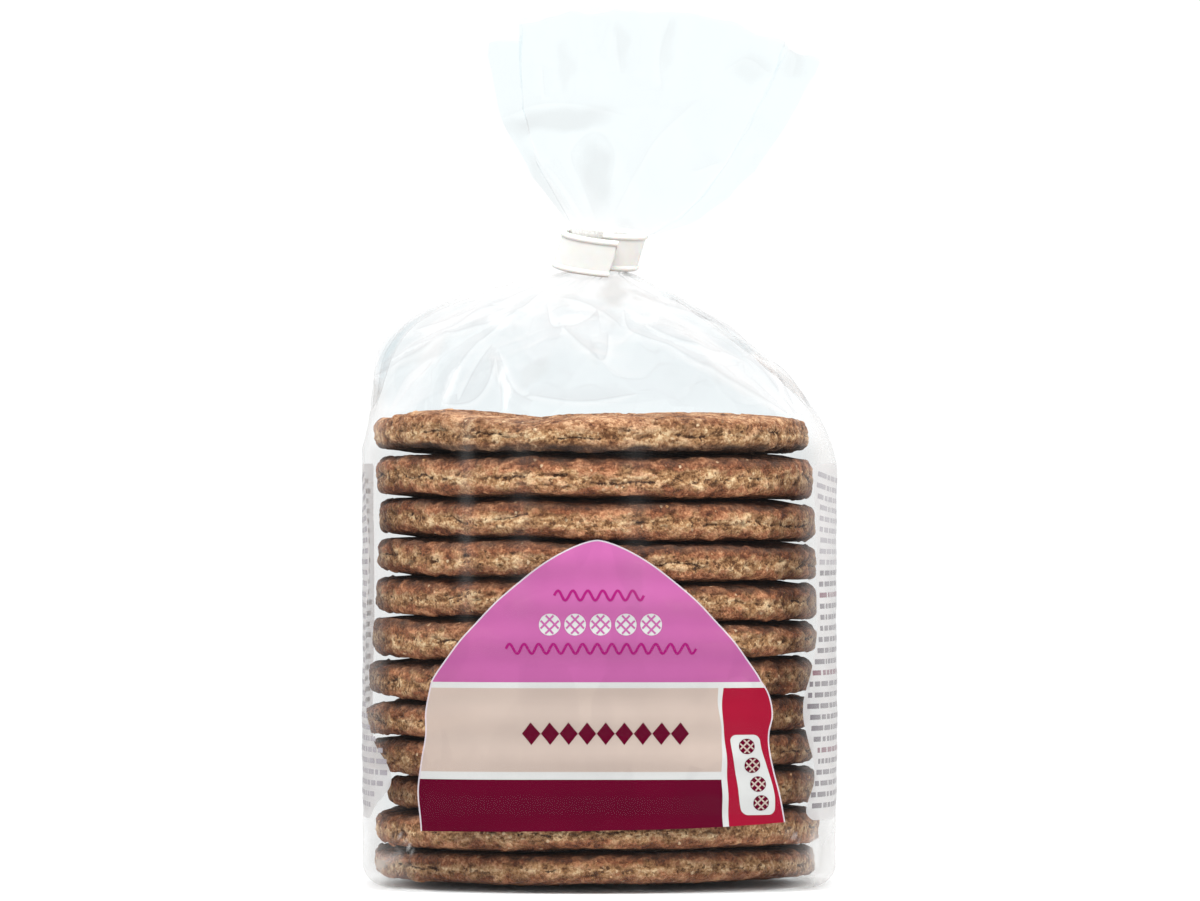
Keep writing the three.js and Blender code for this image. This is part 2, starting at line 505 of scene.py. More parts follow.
@dataclass(frozen=True)
class FilmFinish:
    """Thin clear film: it mirrors more where it is seen edge-on, and its folds show as fine lines of painted
    shade and painted highlight.
    """

    clear: Colour = (0.952, 0.982, 0.987)
    tinted: Colour = (0.885, 0.912, 0.922)
    edge_on: Colour = (0.992, 0.996, 0.998)
    # Grey of the film where it is gathered and overlaps itself, in its lower corners and behind the ends.
    greyed: Colour = (0.72, 0.71, 0.70)
    # Painted shade along the folds.
    fold_shade: Colour = (0.72, 0.71, 0.72)
    bunched: Colour = (0.984, 0.982, 0.98)
    # Colour of the film's haze, which also carries its painted sheen, reflections and highlights.
    cloud: Colour = (0.97, 0.96, 0.94)
    mirror_straight: float = 0.005
    mirror_grazing: float = 0.2
    gloss: float = 0.12
    haze: float = 0.003
    grazing_haze: float = 0.10
    line_highlight: float = 0.06
    facet_size: float = 8.5
    facet_squash: float = 0.6
    facet_wobble: float = 12.0
    facet_wobble_size: float = 1000 / 60
    relief_depth: float = 0.9
    ripple_size: float = 2.6
    ripple_share: float = 0.12
    swell_size: float = 14.0
    oblique: Pair = (0.34, 0.72)
    # The fold lines are painted: a thin dark line and a dark side of painted shade, a light side of painted
    # highlight, and painted shade along the crinkles.
    line_reach: Pair = (0.26, 0.06)
    dark_reach: Pair = (3.6, 0.1)
    light_reach: Pair = (-1.5, -0.5)
    wrinkle_reach: Pair = (0.05, 0.01)
    line_weight: float = 0.2
    dark_weight: float = 0.24
    light_weight: float = 0.45
    wrinkle_weight: float = 0.14

    def material(self) -> Material:
        """Builds the film's material.

        Returns:
            The material.
        """
        shader = Shader("film")
        ripple, swell = shader.noise(self.ripple_size), shader.noise(self.swell_size)
        height = shader.maths("MULTIPLY_ADD", ripple, self.ripple_share, swell)
        relief = shader.bump(height, self.relief_depth, 0.5)
        facing = shader.node("ShaderNodeLayerWeight", {"Blend": 0.5, "Normal": relief}).outputs["Facing"]
        dark, light = self._fold_lines(shader)
        grazing = shader.maths("MULTIPLY", shader.maths("POWER", facing, 5.0), shader.mark("sheen"))
        through = shader.mix(shader.mark("gather"), self.clear, self.bunched)
        through = shader.mix(self._facets(shader), through, self.tinted)
        through = shader.mix(shader.mark("tint"), through, self.tinted)
        through = shader.mix(shader.window(facing, *self.oblique), through, self.edge_on)
        through = shader.mix(shader.mark("grey_patch"), through, self.greyed)
        # Painted shade and painted highlight along the folds.
        through = shader.mix(dark, through, self.fold_shade)
        through = shader.mix(light, through, (1.0, 1.0, 1.0))
        passing = shader.node("ShaderNodeBsdfTransparent", {"Color": through}).outputs[0]
        mirror = shader.node(
            "ShaderNodeBsdfGlossy", {"Roughness": self.gloss, "Normal": relief}
        ).outputs[0]
        cloud = shader.node("ShaderNodeBsdfDiffuse", {"Color": (*self.cloud, 1)}).outputs[0]
        haze_and_sheen = shader.maths("MULTIPLY_ADD", grazing, self.grazing_haze, self.haze)
        # Haze from the mesh, which also holds painted sheen, reflections and highlights.
        haze_and_sheen = shader.maths("ADD", shader.mark("haze_and_sheen"), haze_and_sheen)
        # The light side of each fold also gets a white painted highlight.
        haze_and_sheen = shader.maths("MULTIPLY_ADD", light, self.line_highlight, haze_and_sheen, clamp=True)
        hazy = shader.mix_shaders(haze_and_sheen, passing, cloud)
        share = shader.maths("MULTIPLY_ADD", grazing, self.mirror_grazing, self.mirror_straight, clamp=True)
        return shader.finish(shader.mix_shaders(share, hazy, mirror))

    def _fold_lines(self, shader: Shader) -> tuple[Socket, Socket]:
        """Paints each fold as a thin dark line with a soft side of painted shade and a soft side of painted
        highlight.

        Args:
            shader: The material that the lines go into.

        Returns:
            How much painted shade and how much painted highlight the film has there.
        """
        signed = shader.mark("fold")
        thin = shader.window(shader.maths("ABSOLUTE", signed), *self.line_reach)
        dark_side = shader.window(signed, *self.dark_reach)
        dark_side = shader.maths("MULTIPLY", dark_side, shader.window(signed, -0.05, 0.1))
        light_side = shader.window(signed, *self.light_reach)
        light_side = shader.maths("MULTIPLY", light_side, shader.window(signed, -0.1, -0.5))
        light_side = shader.maths("MULTIPLY", light_side, self.light_weight)
        # Painted shade along the crinkle lines.
        wrinkle = shader.window(shader.maths("ABSOLUTE", shader.mark("crinkle")), *self.wrinkle_reach)
        dark = shader.maths("MULTIPLY", thin, self.line_weight)
        dark = shader.maths("MULTIPLY_ADD", dark_side, self.dark_weight, dark)
        dark = shader.maths("MULTIPLY_ADD", wrinkle, self.wrinkle_weight, dark)
        crisp = shader.mark("crisp")
        return shader.maths("MULTIPLY", dark, crisp, clamp=True), shader.maths("MULTIPLY", light_side, crisp)

    def _facets(self, shader: Shader) -> Socket:
        """Gives small flat patches of the film slightly different tones.

        Args:
            shader: The film's shader.

        Returns:
            The tone, from 0 to 1.
        """
        stretched = shader.flattened(self.facet_squash)
        moved = shader.shifted(stretched, self.facet_wobble_size, self.facet_wobble)
        tone, _ = shader.cells(moved, self.facet_size)
        return shader.maths("MULTIPLY", tone, shader.mark("facet"))


@dataclass(frozen=True)
class WaferFinish:
    """Baked wafer: pale open crumb at the cut edge between two browned skins, with painted shade by the
    gaps.
    """

    crumb: tuple[Colour, ...] = (srgb(106, 68, 42), srgb(182, 136, 96), srgb(240, 206, 164))
    skin: tuple[Colour, ...] = (srgb(82, 44, 32), srgb(146, 90, 62), srgb(212, 152, 114))
    grain: Colour = srgb(240, 208, 170)
    # Colour of the pores and of the seam's crack, also used for the painted shade in the pits.
    pore: Colour = srgb(70, 44, 30)
    # Painted shade: the dark colour put on the rims next to the gaps between wafers, where they shade each
    # other.
    gap_shade: Colour = srgb(76, 57, 48)
    crumb_stops: Triple = (0.2, 0.5, 0.8)
    skin_stops: Triple = (0.2, 0.5, 0.84)
    grain_size: float = 0.62
    lump_size: float = 1.3
    speckle_size: float = 0.5
    mottle_size: float = 2.6
    toast_size: float = 4.2
    drift_size: float = 9.0
    squash: float = 1.5
    toast_squash: float = 1.6
    toasting: float = 0.5
    saturation: float = 1.03
    roughness: float = 0.7
    gloss: float = 0.3
    relief_depth: float = 0.4

    def material(self, name: str, tone: float, bake: float = 1.0) -> Material:
        """Builds one wafer's material.

        Args:
            name: The material's name.
            tone: How much of its light colour this wafer keeps, 1 for all of it; lower values are partly
                painted shade.
            bake: How brown its skins are, 1 for the brownest.

        Returns:
            The material.
        """
        shader = Shader(name)
        mottled = shader.window(shader.noise(self.mottle_size, 3.0, 0.6, self.squash), 0.34, 0.66)
        drift = shader.window(shader.noise(self.drift_size, 2.0), 0.32, 0.68)
        grain_tone, grain_middle = shader.grains(self.grain_size)
        lump_tone, lump_middle = shader.grains(self.lump_size)
        # Painted light and shade: raised crumb is coloured lighter, dips darker, and the top's waffle pits
        # darker.
        relief_and_shade = shader.mark("relief_and_shade")
        speckled = shader.window(shader.noise(self.speckle_size, 2.0, 0.6), 0.36, 0.64)
        grainy = shader.blend(
            (mottled, 0.38), (grain_tone, 0.28), (lump_tone, 0.14), (speckled, 0.20), (relief_and_shade, 0.3)
        )
        crumb = shader.ramp(grainy, tuple(zip(self.crumb_stops, self.crumb)))
        baked = shader.blend((drift, 0.34), (grain_tone, 0.26), (mottled, 0.2), (speckled, 0.2), (relief_and_shade, 0.2))
        skin = shader.ramp(baked, tuple(zip(self.skin_stops, self.skin)))
        ragged = shader.blend((mottled, 0.45), (grain_tone, 0.2), (lump_tone, 0.35))
        browned = shader.maths("MULTIPLY_ADD", ragged, 0.8, shader.maths("ADD", shader.mark("skin"), -0.4))
        browned = shader.maths("MULTIPLY", shader.window(browned, -0.2, 0.2), bake)
        colour = shader.mix(browned, crumb, skin)
        toasted = shader.window(shader.noise(self.toast_size, 3.0, 0.6, self.toast_squash), 0.54, 0.66)
        toasted = shader.maths("MULTIPLY", toasted, self.toasting * bake)
        colour = shader.mix(toasted, colour, skin)
        # Painted shade in the gaps between wafers, broken up by the ragged noise; sugar specks thin out
        # there.
        gap_shaded = shader.maths("MULTIPLY_ADD", ragged, -0.35, shader.mark("gap_shade"), clamp=True)
        colour = shader.mix(gap_shaded, colour, self.gap_shade)
        sugar = shader.window(lump_tone, 0.93, 0.96)
        sugar = shader.maths("MULTIPLY", sugar, shader.window(lump_middle, 0.34, 0.22))
        sugar = shader.maths("MULTIPLY", sugar, shader.maths("MULTIPLY_ADD", gap_shaded, -0.6, 0.7))
        colour = shader.mix(sugar, colour, self.grain)
        colour = shader.mix(self._pores(shader, grain_tone, browned), colour, self.pore)
        toned = shader.node(
            "ShaderNodeHueSaturation", {"Value": tone, "Saturation": self.saturation, "Color": colour}
        ).outputs[0]
        relief = shader.maths("MULTIPLY_ADD", grain_middle, -0.55, mottled)
        relief = shader.maths("MULTIPLY_ADD", lump_middle, -0.5, relief)
        surface = shader.node(
            "ShaderNodeBsdfPrincipled",
            {
                "Base Color": toned,
                "Roughness": self.roughness,
                "Specular IOR Level": self.gloss,
                "Normal": shader.bump(relief, self.relief_depth),
            },
        )
        return shader.finish(surface.outputs[0])

    @staticmethod
    def _pores(shader: Shader, grain_tone: Socket, browned: Socket) -> Socket:
        """Darkens the broken seam, the small dark pores of the bare crumb and the painted shade in its pits.

        Args:
            shader: The material they go into.
            grain_tone: The tone of each grain, of which the darkest are pores.
            browned: How far the skin covers the crumb.

        Returns:
            How dark the wafer is there.
        """
        open_share = shader.mark("broken")
        seam = shader.maths("ABSOLUTE", shader.mark("seam"))
        gap = shader.maths("MULTIPLY_ADD", open_share, -0.05, seam)
        frayed = shader.maths("MULTIPLY_ADD", grain_tone, 0.09, gap)
        # The crack is dark with syrup and with painted shade of the crevice.
        crack = shader.window(frayed, 0.085, 0.0)
        crack = shader.maths("MULTIPLY", crack, shader.window(open_share, 0.1, 0.7))
        near_seam = shader.maths("MULTIPLY_ADD", shader.window(seam, 0.4, 0.05), 0.08, 0.02)
        pore = shader.maths("LESS_THAN", grain_tone, near_seam)
        pore = shader.maths("MULTIPLY", pore, shader.maths("MULTIPLY_ADD", browned, -0.45, 0.55))
        dark = shader.maths("MAXIMUM", crack, pore)
        # Adds the painted shade in the carved pits.
        return shader.maths("ADD", dark, shader.mark("pit_shade"), clamp=True)


@dataclass(frozen=True)
class InkFinish:
    """Ink printed inside the film: a flat colour that lets a little of what is behind show."""

    name: str
    colour: Colour
    cover: float = 0.93
    passing: float = 0.0
    # Painted light: the ink can be made lighter towards the top of the print, between two heights.
    glow: float = 0.0
    painted_light_heights: Pair = (0.046, 0.070)
    cloud_size: float = 9.0
    lightening: float = 1.06
    grain_size: float = 0.5
    grain_cover: float = 0.03

    def material(self) -> Material:
        """Builds the ink's material.

        Returns:
            The material.
        """
        shader = Shader(self.name)
        uneven = shader.window(shader.noise(self.cloud_size, 3.0), 0.3, 0.7)
        lighter = tuple(min(1.0, c * self.lightening) for c in self.colour)
        colour = shader.mix(uneven, self.colour, lighter)
        height = shader.node("ShaderNodeSeparateXYZ", {0: shader.place}).outputs[2]
        # Painted light: lighter towards the top of the print.
        lit = shader.maths("MULTIPLY_ADD", shader.window(height, *self.painted_light_heights), self.glow, 1.0)
        colour = shader.node("ShaderNodeHueSaturation", {"Value": lit, "Color": colour}).outputs[0]
        ink = shader.node(
            "ShaderNodeBsdfPrincipled",
            {"Base Color": colour, "Roughness": 0.6, "Specular IOR Level": 0.0},
        ).outputs[0]
        glow = shader.node("ShaderNodeBsdfTranslucent", {"Color": colour}).outputs[0]
        ink = shader.mix_shaders(self.passing, ink, glow)
        clear = shader.node("ShaderNodeBsdfTransparent").outputs[0]
        grainy = shader.window(shader.noise(self.grain_size), 0.2, 0.8)
        least = self.cover - self.grain_cover / 2
        cover = shader.maths("MULTIPLY_ADD", grainy, self.grain_cover, least, clamp=True)
        return shader.finish(shader.mix_shaders(cover, clear, ink))


@dataclass(frozen=True)
class StripFinish:
    """Off-white plastic, a little translucent, with faint mould waves and painted grey shade beside and
    under its beads.
    """

    colour: Colour = srgb(236, 237, 233)
    # Painted shade beside the beads and under the lower one.
    bead_shade: Colour = srgb(120, 122, 124)
    passing: float = 0.06
    wave_size: float = 1.5
    wave_depth: float = 0.05
    cloud_size: float = 5.0
    darkening: float = 0.95
    bead_shade_share: float = 0.55

    def material(self) -> Material:
        """Builds the strip's material.

        Returns:
            The material.
        """
        shader = Shader("strip_plastic")
        waves = shader.noise(self.wave_size, 3.0)
        clouded = shader.window(shader.noise(self.cloud_size), 0.3, 0.7)
        colour = shader.mix(clouded, tuple(c * self.darkening for c in self.colour), self.colour)
        # Painted shade beside and under the beads.
        bead_shade = shader.maths("MULTIPLY", shader.mark("bead_shade"), self.bead_shade_share)
        colour = shader.mix(bead_shade, colour, self.bead_shade)
        surface = shader.node(
            "ShaderNodeBsdfPrincipled",
            {
                "Base Color": colour,
                "Roughness": 0.38,
                "Subsurface Weight": 0.2,
                "Subsurface Scale": 0.001,
                "Normal": shader.bump(waves, self.wave_depth, 0.5),
            },
        ).outputs[0]
        glow = shader.node("ShaderNodeBsdfTranslucent", {"Color": colour}).outputs[0]
        return shader.finish(shader.mix_shaders(self.passing, surface, glow))


# ---- the bag's form


@dataclass
class Rings:
    """Rings of film, with one array entry for each ring.

    Attributes:
        left: How far right and how high the left ends are.
        right: How far right and how high the right ends are.
        depth: Half depth from front to back.
        squareness: 2 for an oval, and more for a squarer ring.
        middle: How far back the middle of each ring is.
        tip: Angle by which the ring tips towards the front.
        crown: How far its front and back rise above its ends.
    """

    left: tuple[Array, Array]
    right: tuple[Array, Array]
    depth: Array | float
    squareness: Array | float
    middle: Array | float = 0.0
    tip: Array | float = 0.0
    crown: Array | float = 0.0

    def points(self, angles: Array, inward: Array) -> Array:
        """Works out the film's points.

        Args:
            angles: Angles round the rings, 0 at the right and a quarter turn at the back.
            inward: How far in from the smooth ring the film lies, for each ring and angle.

        Returns:
            An array of rings, angles and 3.
        """
        sizes = (self.squareness, self.depth, self.middle, self.tip, self.crown)
        power, depth, back_middle, tip, crown = (
            np.broadcast_to(size, len(self.left[1]))[:, None] for size in sizes
        )
        left, right = np.stack(self.left, axis=-1), np.stack(self.right, axis=-1)
        cosine, sine = np.cos(angles), np.sin(angles)
        unit = (np.abs(cosine) ** power + np.abs(sine) ** power) ** (-1 / power)
        half, middle = (right - left) / 2, (right + left) / 2
        kept = 1 - inward / np.hypot(half[:, :1] * cosine, depth * sine)
        across = cosine * unit * kept
        back = sine * unit * kept * depth
        rise = crown * np.sqrt(np.maximum(0, 1 - (cosine * unit) ** 2))
        x = middle[:, :1] + across * half[:, :1]
        y = back_middle + back * np.cos(tip)
        z = middle[:, 1:] + across * half[:, 1:] + back * np.sin(tip) + rise
        return np.stack([x, y, z], axis=-1)


@dataclass(frozen=True)
class Shoulder:
    """How one side of the film falls away above the stack, and how far it leans in lower down."""

    start: float
    power: float
    lean: float
    lean_peak: float = 4 / 27

    def share(self, height: Array, neck: float) -> Array:
        """Gives the share of its full width that the side keeps at each height.

        Args:
            height: Heights above the floor.
            neck: Height where the neck starts.

        Returns:
            The share, from 0 to 1.
        """
        climbed = np.clip((height - self.start) / (neck - self.start), 0, 1)
        leaned = self.lean * climbed * (1 - climbed) ** 2 / self.lean_peak
        return 1 - climbed ** self.power - leaned


@dataclass
class BagForm:
    """The law of the whole bag's shape, with its outer size taken from the frame."""

    half_width: float
    half_depth: float
    squareness: float = 3.4
    foot_height: float = 5.0
    foot_inset: float = 5.2
    ridge_depth: float = 0.6
    right: Shoulder = Shoulder(88, 2, 0.02)
    left: Shoulder = Shoulder(92, 5, 0.042)
    deep: Shoulder = Shoulder(92, 2.6, 0)
    neck_bottom: float = 129.0
    neck_top: float = 137.6
    neck_half_width: float = 6.3
    neck_half_depth: float = 2.9
    neck_squareness: float = 2.2
    neck_shift: Pair = (-0.3, 1.2)
    neck_lean: float = math.radians(5)
    neck_tip: float = math.radians(12)
    fan_left: Pair = (-23.5, 177.5)
    fan_right: Pair = (46.7, 173.2)
    fan_crown: float = 9.6
    fan_half_depth: float = 16.0
    rims: Sequence[float] = field(default_factory=list)

    @classmethod
    def from_frame(cls, rims: Sequence[float]) -> "BagForm":
        """Takes the bag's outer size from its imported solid, and its bulges from the wafers' rims."""
        low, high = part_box("bag")
        return cls((high.x - low.x) / 2 / MM, (high.y - low.y) / 2 / MM, rims=rims)

    @property
    def neck_middle(self) -> float:
        """Height of the middle of the neck."""
        return (self.neck_bottom + self.neck_top) / 2

    def neck_centre(self, height: float | Array) -> tuple[Array, Array]:
        """Gives how far across and how far back the neck's middle line is at a height.

        Args:
            height: Height above the floor.

        Returns:
            Distance to the right, and distance back.
        """
        climbed = (height - self.neck_bottom) / (self.neck_top - self.neck_bottom)
        across = lerp(self.neck_shift[0], self.neck_shift[1], climbed)
        return across, -(height - self.neck_middle) * math.tan(self.neck_tip)

    def body(self, heights: Array) -> Rings:
        """Gives the rings round the stack, rounded under at the foot.

        Args:
            heights: Height of each ring.

        Returns:
            The rings.
        """
        under = np.clip(1 - heights / self.foot_height, 0, 1)
        drawn_in = self.foot_inset * (1 - np.sqrt(1 - under ** 2))
        return Rings(
            left=(drawn_in - self.half_width, heights),
            right=(self.half_width - drawn_in, heights),
            depth=self.half_depth - drawn_in,
            squareness=self.squareness,
        )

    def ridges(self, heights: Array) -> Array:
        """Gives how far the film is drawn in between the rims of the wafers.

        Args:
            heights: Heights above the floor.

        Returns:
            The depth of the dip at each.
        """
        phase = np.interp(heights, self.rims, np.arange(len(self.rims)))
        inside = smoothstep(0, 8, heights) * smoothstep(96, 86, heights)
        return self.ridge_depth * (0.5 - 0.5 * np.cos(2 * np.pi * phase)) * inside

    def shoulders(self, heights: Array) -> Rings:
        """Gives the rings that close over the stack, up to the neck.

        Args:
            heights: Height of each ring.

        Returns:
            The rings.
        """
        right = self.right.share(heights, self.neck_bottom)
        left = self.left.share(heights, self.neck_bottom)
        deep = self.deep.share(heights, self.neck_bottom)
        start = min(self.right.start, self.left.start)
        climbed = 1 - (1 - (heights - start) / (self.neck_bottom - start)) ** (1 / 1.5)
        gathered = np.clip(climbed, 0, 1) ** 3
        across, back = self.neck_centre(self.neck_bottom)
        left_x = lerp(across - self.neck_half_width, -self.half_width, left)
        right_x = lerp(across + self.neck_half_width, self.half_width, right)
        return Rings(
            left=(left_x, heights),
            right=(right_x, heights),
            depth=lerp(self.neck_half_depth, self.half_depth, deep),
            squareness=lerp(self.neck_squareness, self.squareness, deep),
            middle=back * gathered,
            tip=self.neck_tip * gathered,
        )

    def neck(self, heights: Array) -> Rings:
        """Gives the rings inside the closing strip.

        Args:
            heights: Height of each ring.

        Returns:
            The rings.
        """
        across, back = self.neck_centre(heights)
        slant = self.neck_half_width * math.tan(self.neck_lean)
        return Rings(
            left=(across - self.neck_half_width, heights + slant),
            right=(across + self.neck_half_width, heights - slant),
            depth=self.neck_half_depth,
            squareness=self.neck_squareness,
            middle=back,
            tip=self.neck_tip,
        )

    def fan(self, climbed: Array) -> Rings:
        """Gives the rings above the neck, for shares of the way from the neck to the mouth.

        Args:
            climbed: Share of the way for each ring.

        Returns:
            The rings.
        """
        across, back = self.neck_centre(self.neck_top)
        slant = self.neck_half_width * math.tan(self.neck_lean)
        left_flare = 1 - (1 - climbed) ** 2
        right_flare = climbed ** 0.9
        left_x = lerp(across - self.neck_half_width, self.fan_left[0], left_flare)
        left_z = lerp(self.neck_top + slant, self.fan_left[1], climbed)
        right_x = lerp(across + self.neck_half_width, self.fan_right[0], right_flare)
        right_z = lerp(self.neck_top - slant, self.fan_right[1], climbed ** 2)
        return Rings(
            left=(left_x, left_z),
            right=(right_x, right_z),
            depth=lerp(self.neck_half_depth, self.fan_half_depth, climbed ** 0.8),
            squareness=2.0,
            middle=back * (1 - climbed),
            tip=self.neck_tip * (1 - climbed),
            crown=self.fan_crown * climbed ** 2,
        )

    def on_front(self, across: Array, heights: Array, inside: float) -> Array:
        """Places points on the front film.

        Args:
            across: How far right of the middle each point is.
            heights: How high each point is.
            inside: How far behind the film they lie.

        Returns:
            The points, in the shape of across with 3 more along a last axis.
        """
        share = np.clip(np.abs(across) / self.half_width, 0, 0.999)
        forward = -(1 - share ** self.squareness) ** (1 / self.squareness)
        return self._on_body(np.arctan2(forward, across / self.half_width), heights, inside)

    def on_side(self, back: Array, heights: Array, inside: float, side: int) -> Array:
        """Places points on a side of the film.

        Args:
            back: How far behind the middle each point is.
            heights: How high each point is.
            inside: How far inside the film they lie.
            side: 1 for the right side and -1 for the left.

        Returns:
            The points, in the shape of back with 3 more along a last axis.
        """
        share = np.clip(np.abs(back) / self.half_depth, 0, 0.999)
        outward = side * (1 - share ** self.squareness) ** (1 / self.squareness)
        return self._on_body(np.arctan2(back / self.half_depth, outward), heights, inside)

    def _on_body(self, angles: Array, heights: Array, inside: float) -> Array:
        """Places points on the body at angles and heights of one shape.

        Args:
            angles: Angles round the bag.
            heights: Heights above the floor.
            inside: Distance inside the film.

        Returns:
            The points.
        """
        flat_angles, flat_heights = angles.reshape(-1, 1), heights.reshape(-1)
        inward = self.body_relief(flat_angles, flat_heights) + inside
        return self.body(flat_heights).points(flat_angles, inward).reshape(*angles.shape, 3)

    def body_relief(self, angles: Array, heights: Array) -> Array:
        """Gives how far in the film round the stack lies.

        Args:
            angles: Angles round the body, with one row for each height or one row for all.
            heights: Height of each row.

        Returns:
            How far in the film lies, for each row and angle.
        """
        smooth = self.body(heights).points(angles, np.zeros((len(heights), 1)))
        slack = 0.28 * BODY_GRAIN.rough(smooth / np.array([16, 16, 26]), 2)
        facing = 0.2 + 0.8 * smoothstep(0.5, 0.95, np.abs(np.sin(angles)))
        return self.ridges(heights)[:, None] * np.abs(np.cos(2 * angles)) * facing + slack


BODY_GRAIN = Grain(11)


# ---- wafers


@dataclass(frozen=True)
class WaferPlace:
    """How one wafer lies in the stack.

    Attributes:
        shift: How far right of the bag's middle its centre is.
        width: How wide it is from left to right.
        low: Height of its lower face at its left and right ends.
        high: Height of its upper face at its left and right ends.
        tone: How light it is: partly its own tone, partly painted shade that darkens the lower wafers.
        bake: How brown its skins are.
        shaded_from: How far up its lower rim the painted shade of the gap reaches, 0 at its middle and 1 at
            its lower face.
        crest: How far its upper rim sinks by the distance to the right, or nothing.
    """

    shift: float
    width: float
    low: Pair
    high: Pair
    tone: float = 1.0
    bake: float = 1.0
    # How far up the lower rim the painted shade of the gap reaches.
    shaded_from: float = 0.86
    crest: Curve | None = None

    @property
    def middle(self) -> float:
        """Height of its middle."""
        return (sum(self.low) + sum(self.high)) / 4

    def face(self, ends: Pair, across: Array) -> Array:
        """Gives the height of one of its faces, which runs straight from end to end."""
        share = np.clip(0.5 + (across - self.shift) / self.width, 0, 1)
        return lerp(ends[0], ends[1], share)


CREST = Curve(
    (
        (-46, 1.3), (-43, 0.9), (-38, 0.3), (-33, 0.05), (-27, 0.55), (-21, 1.25), (-14.5, 1.75), (-9, 1.2),
        (-3, 1.0), (6, 0.9), (12, 0.3), (20, 0.05), (25, 0.4), (31, 0.8), (40, 0.9),
    )
)

# The fifth value of each wafer, its tone, falls towards the bottom: partly painted shade where less light
# reaches.
STACK = (
    WaferPlace(-0.9, 92.6, (1.3, 1.3), (8.2, 8.2), 0.74, shaded_from=1.2),
    WaferPlace(-0.5, 93.4, (8.2, 8.2), (16.0, 16.6), 0.94),
    WaferPlace(0.5, 90.1, (16.0, 16.6), (22.9, 25.2), 0.88),
    WaferPlace(-1.6, 93.2, (22.9, 25.2), (31.2, 32.6), 0.90),
    WaferPlace(-2.2, 93.6, (31.2, 32.6), (39.0, 39.9), 0.92),
    WaferPlace(-1.9, 93.4, (39.0, 39.9), (47.6, 48.0), 0.95),
    WaferPlace(-1.1, 93.4, (47.6, 48.0), (56.8, 55.3), 0.96),
    WaferPlace(-0.7, 93.0, (56.8, 55.3), (65.2, 63.7), 0.96),
    WaferPlace(-0.6, 92.0, (65.2, 63.7), (73.5, 71.9), 0.98),
    WaferPlace(-0.6, 91.5, (73.5, 71.9), (81.9, 80.6), 1.0),
    WaferPlace(-1.1, 92.0, (81.9, 80.6), (91.0, 90.2), 1.02, 1.0, 0.9),
    WaferPlace(-1.9, 91.5, (91.0, 90.2), (100.2, 99.1), 0.96, 0.62, 0.42, CREST),
)


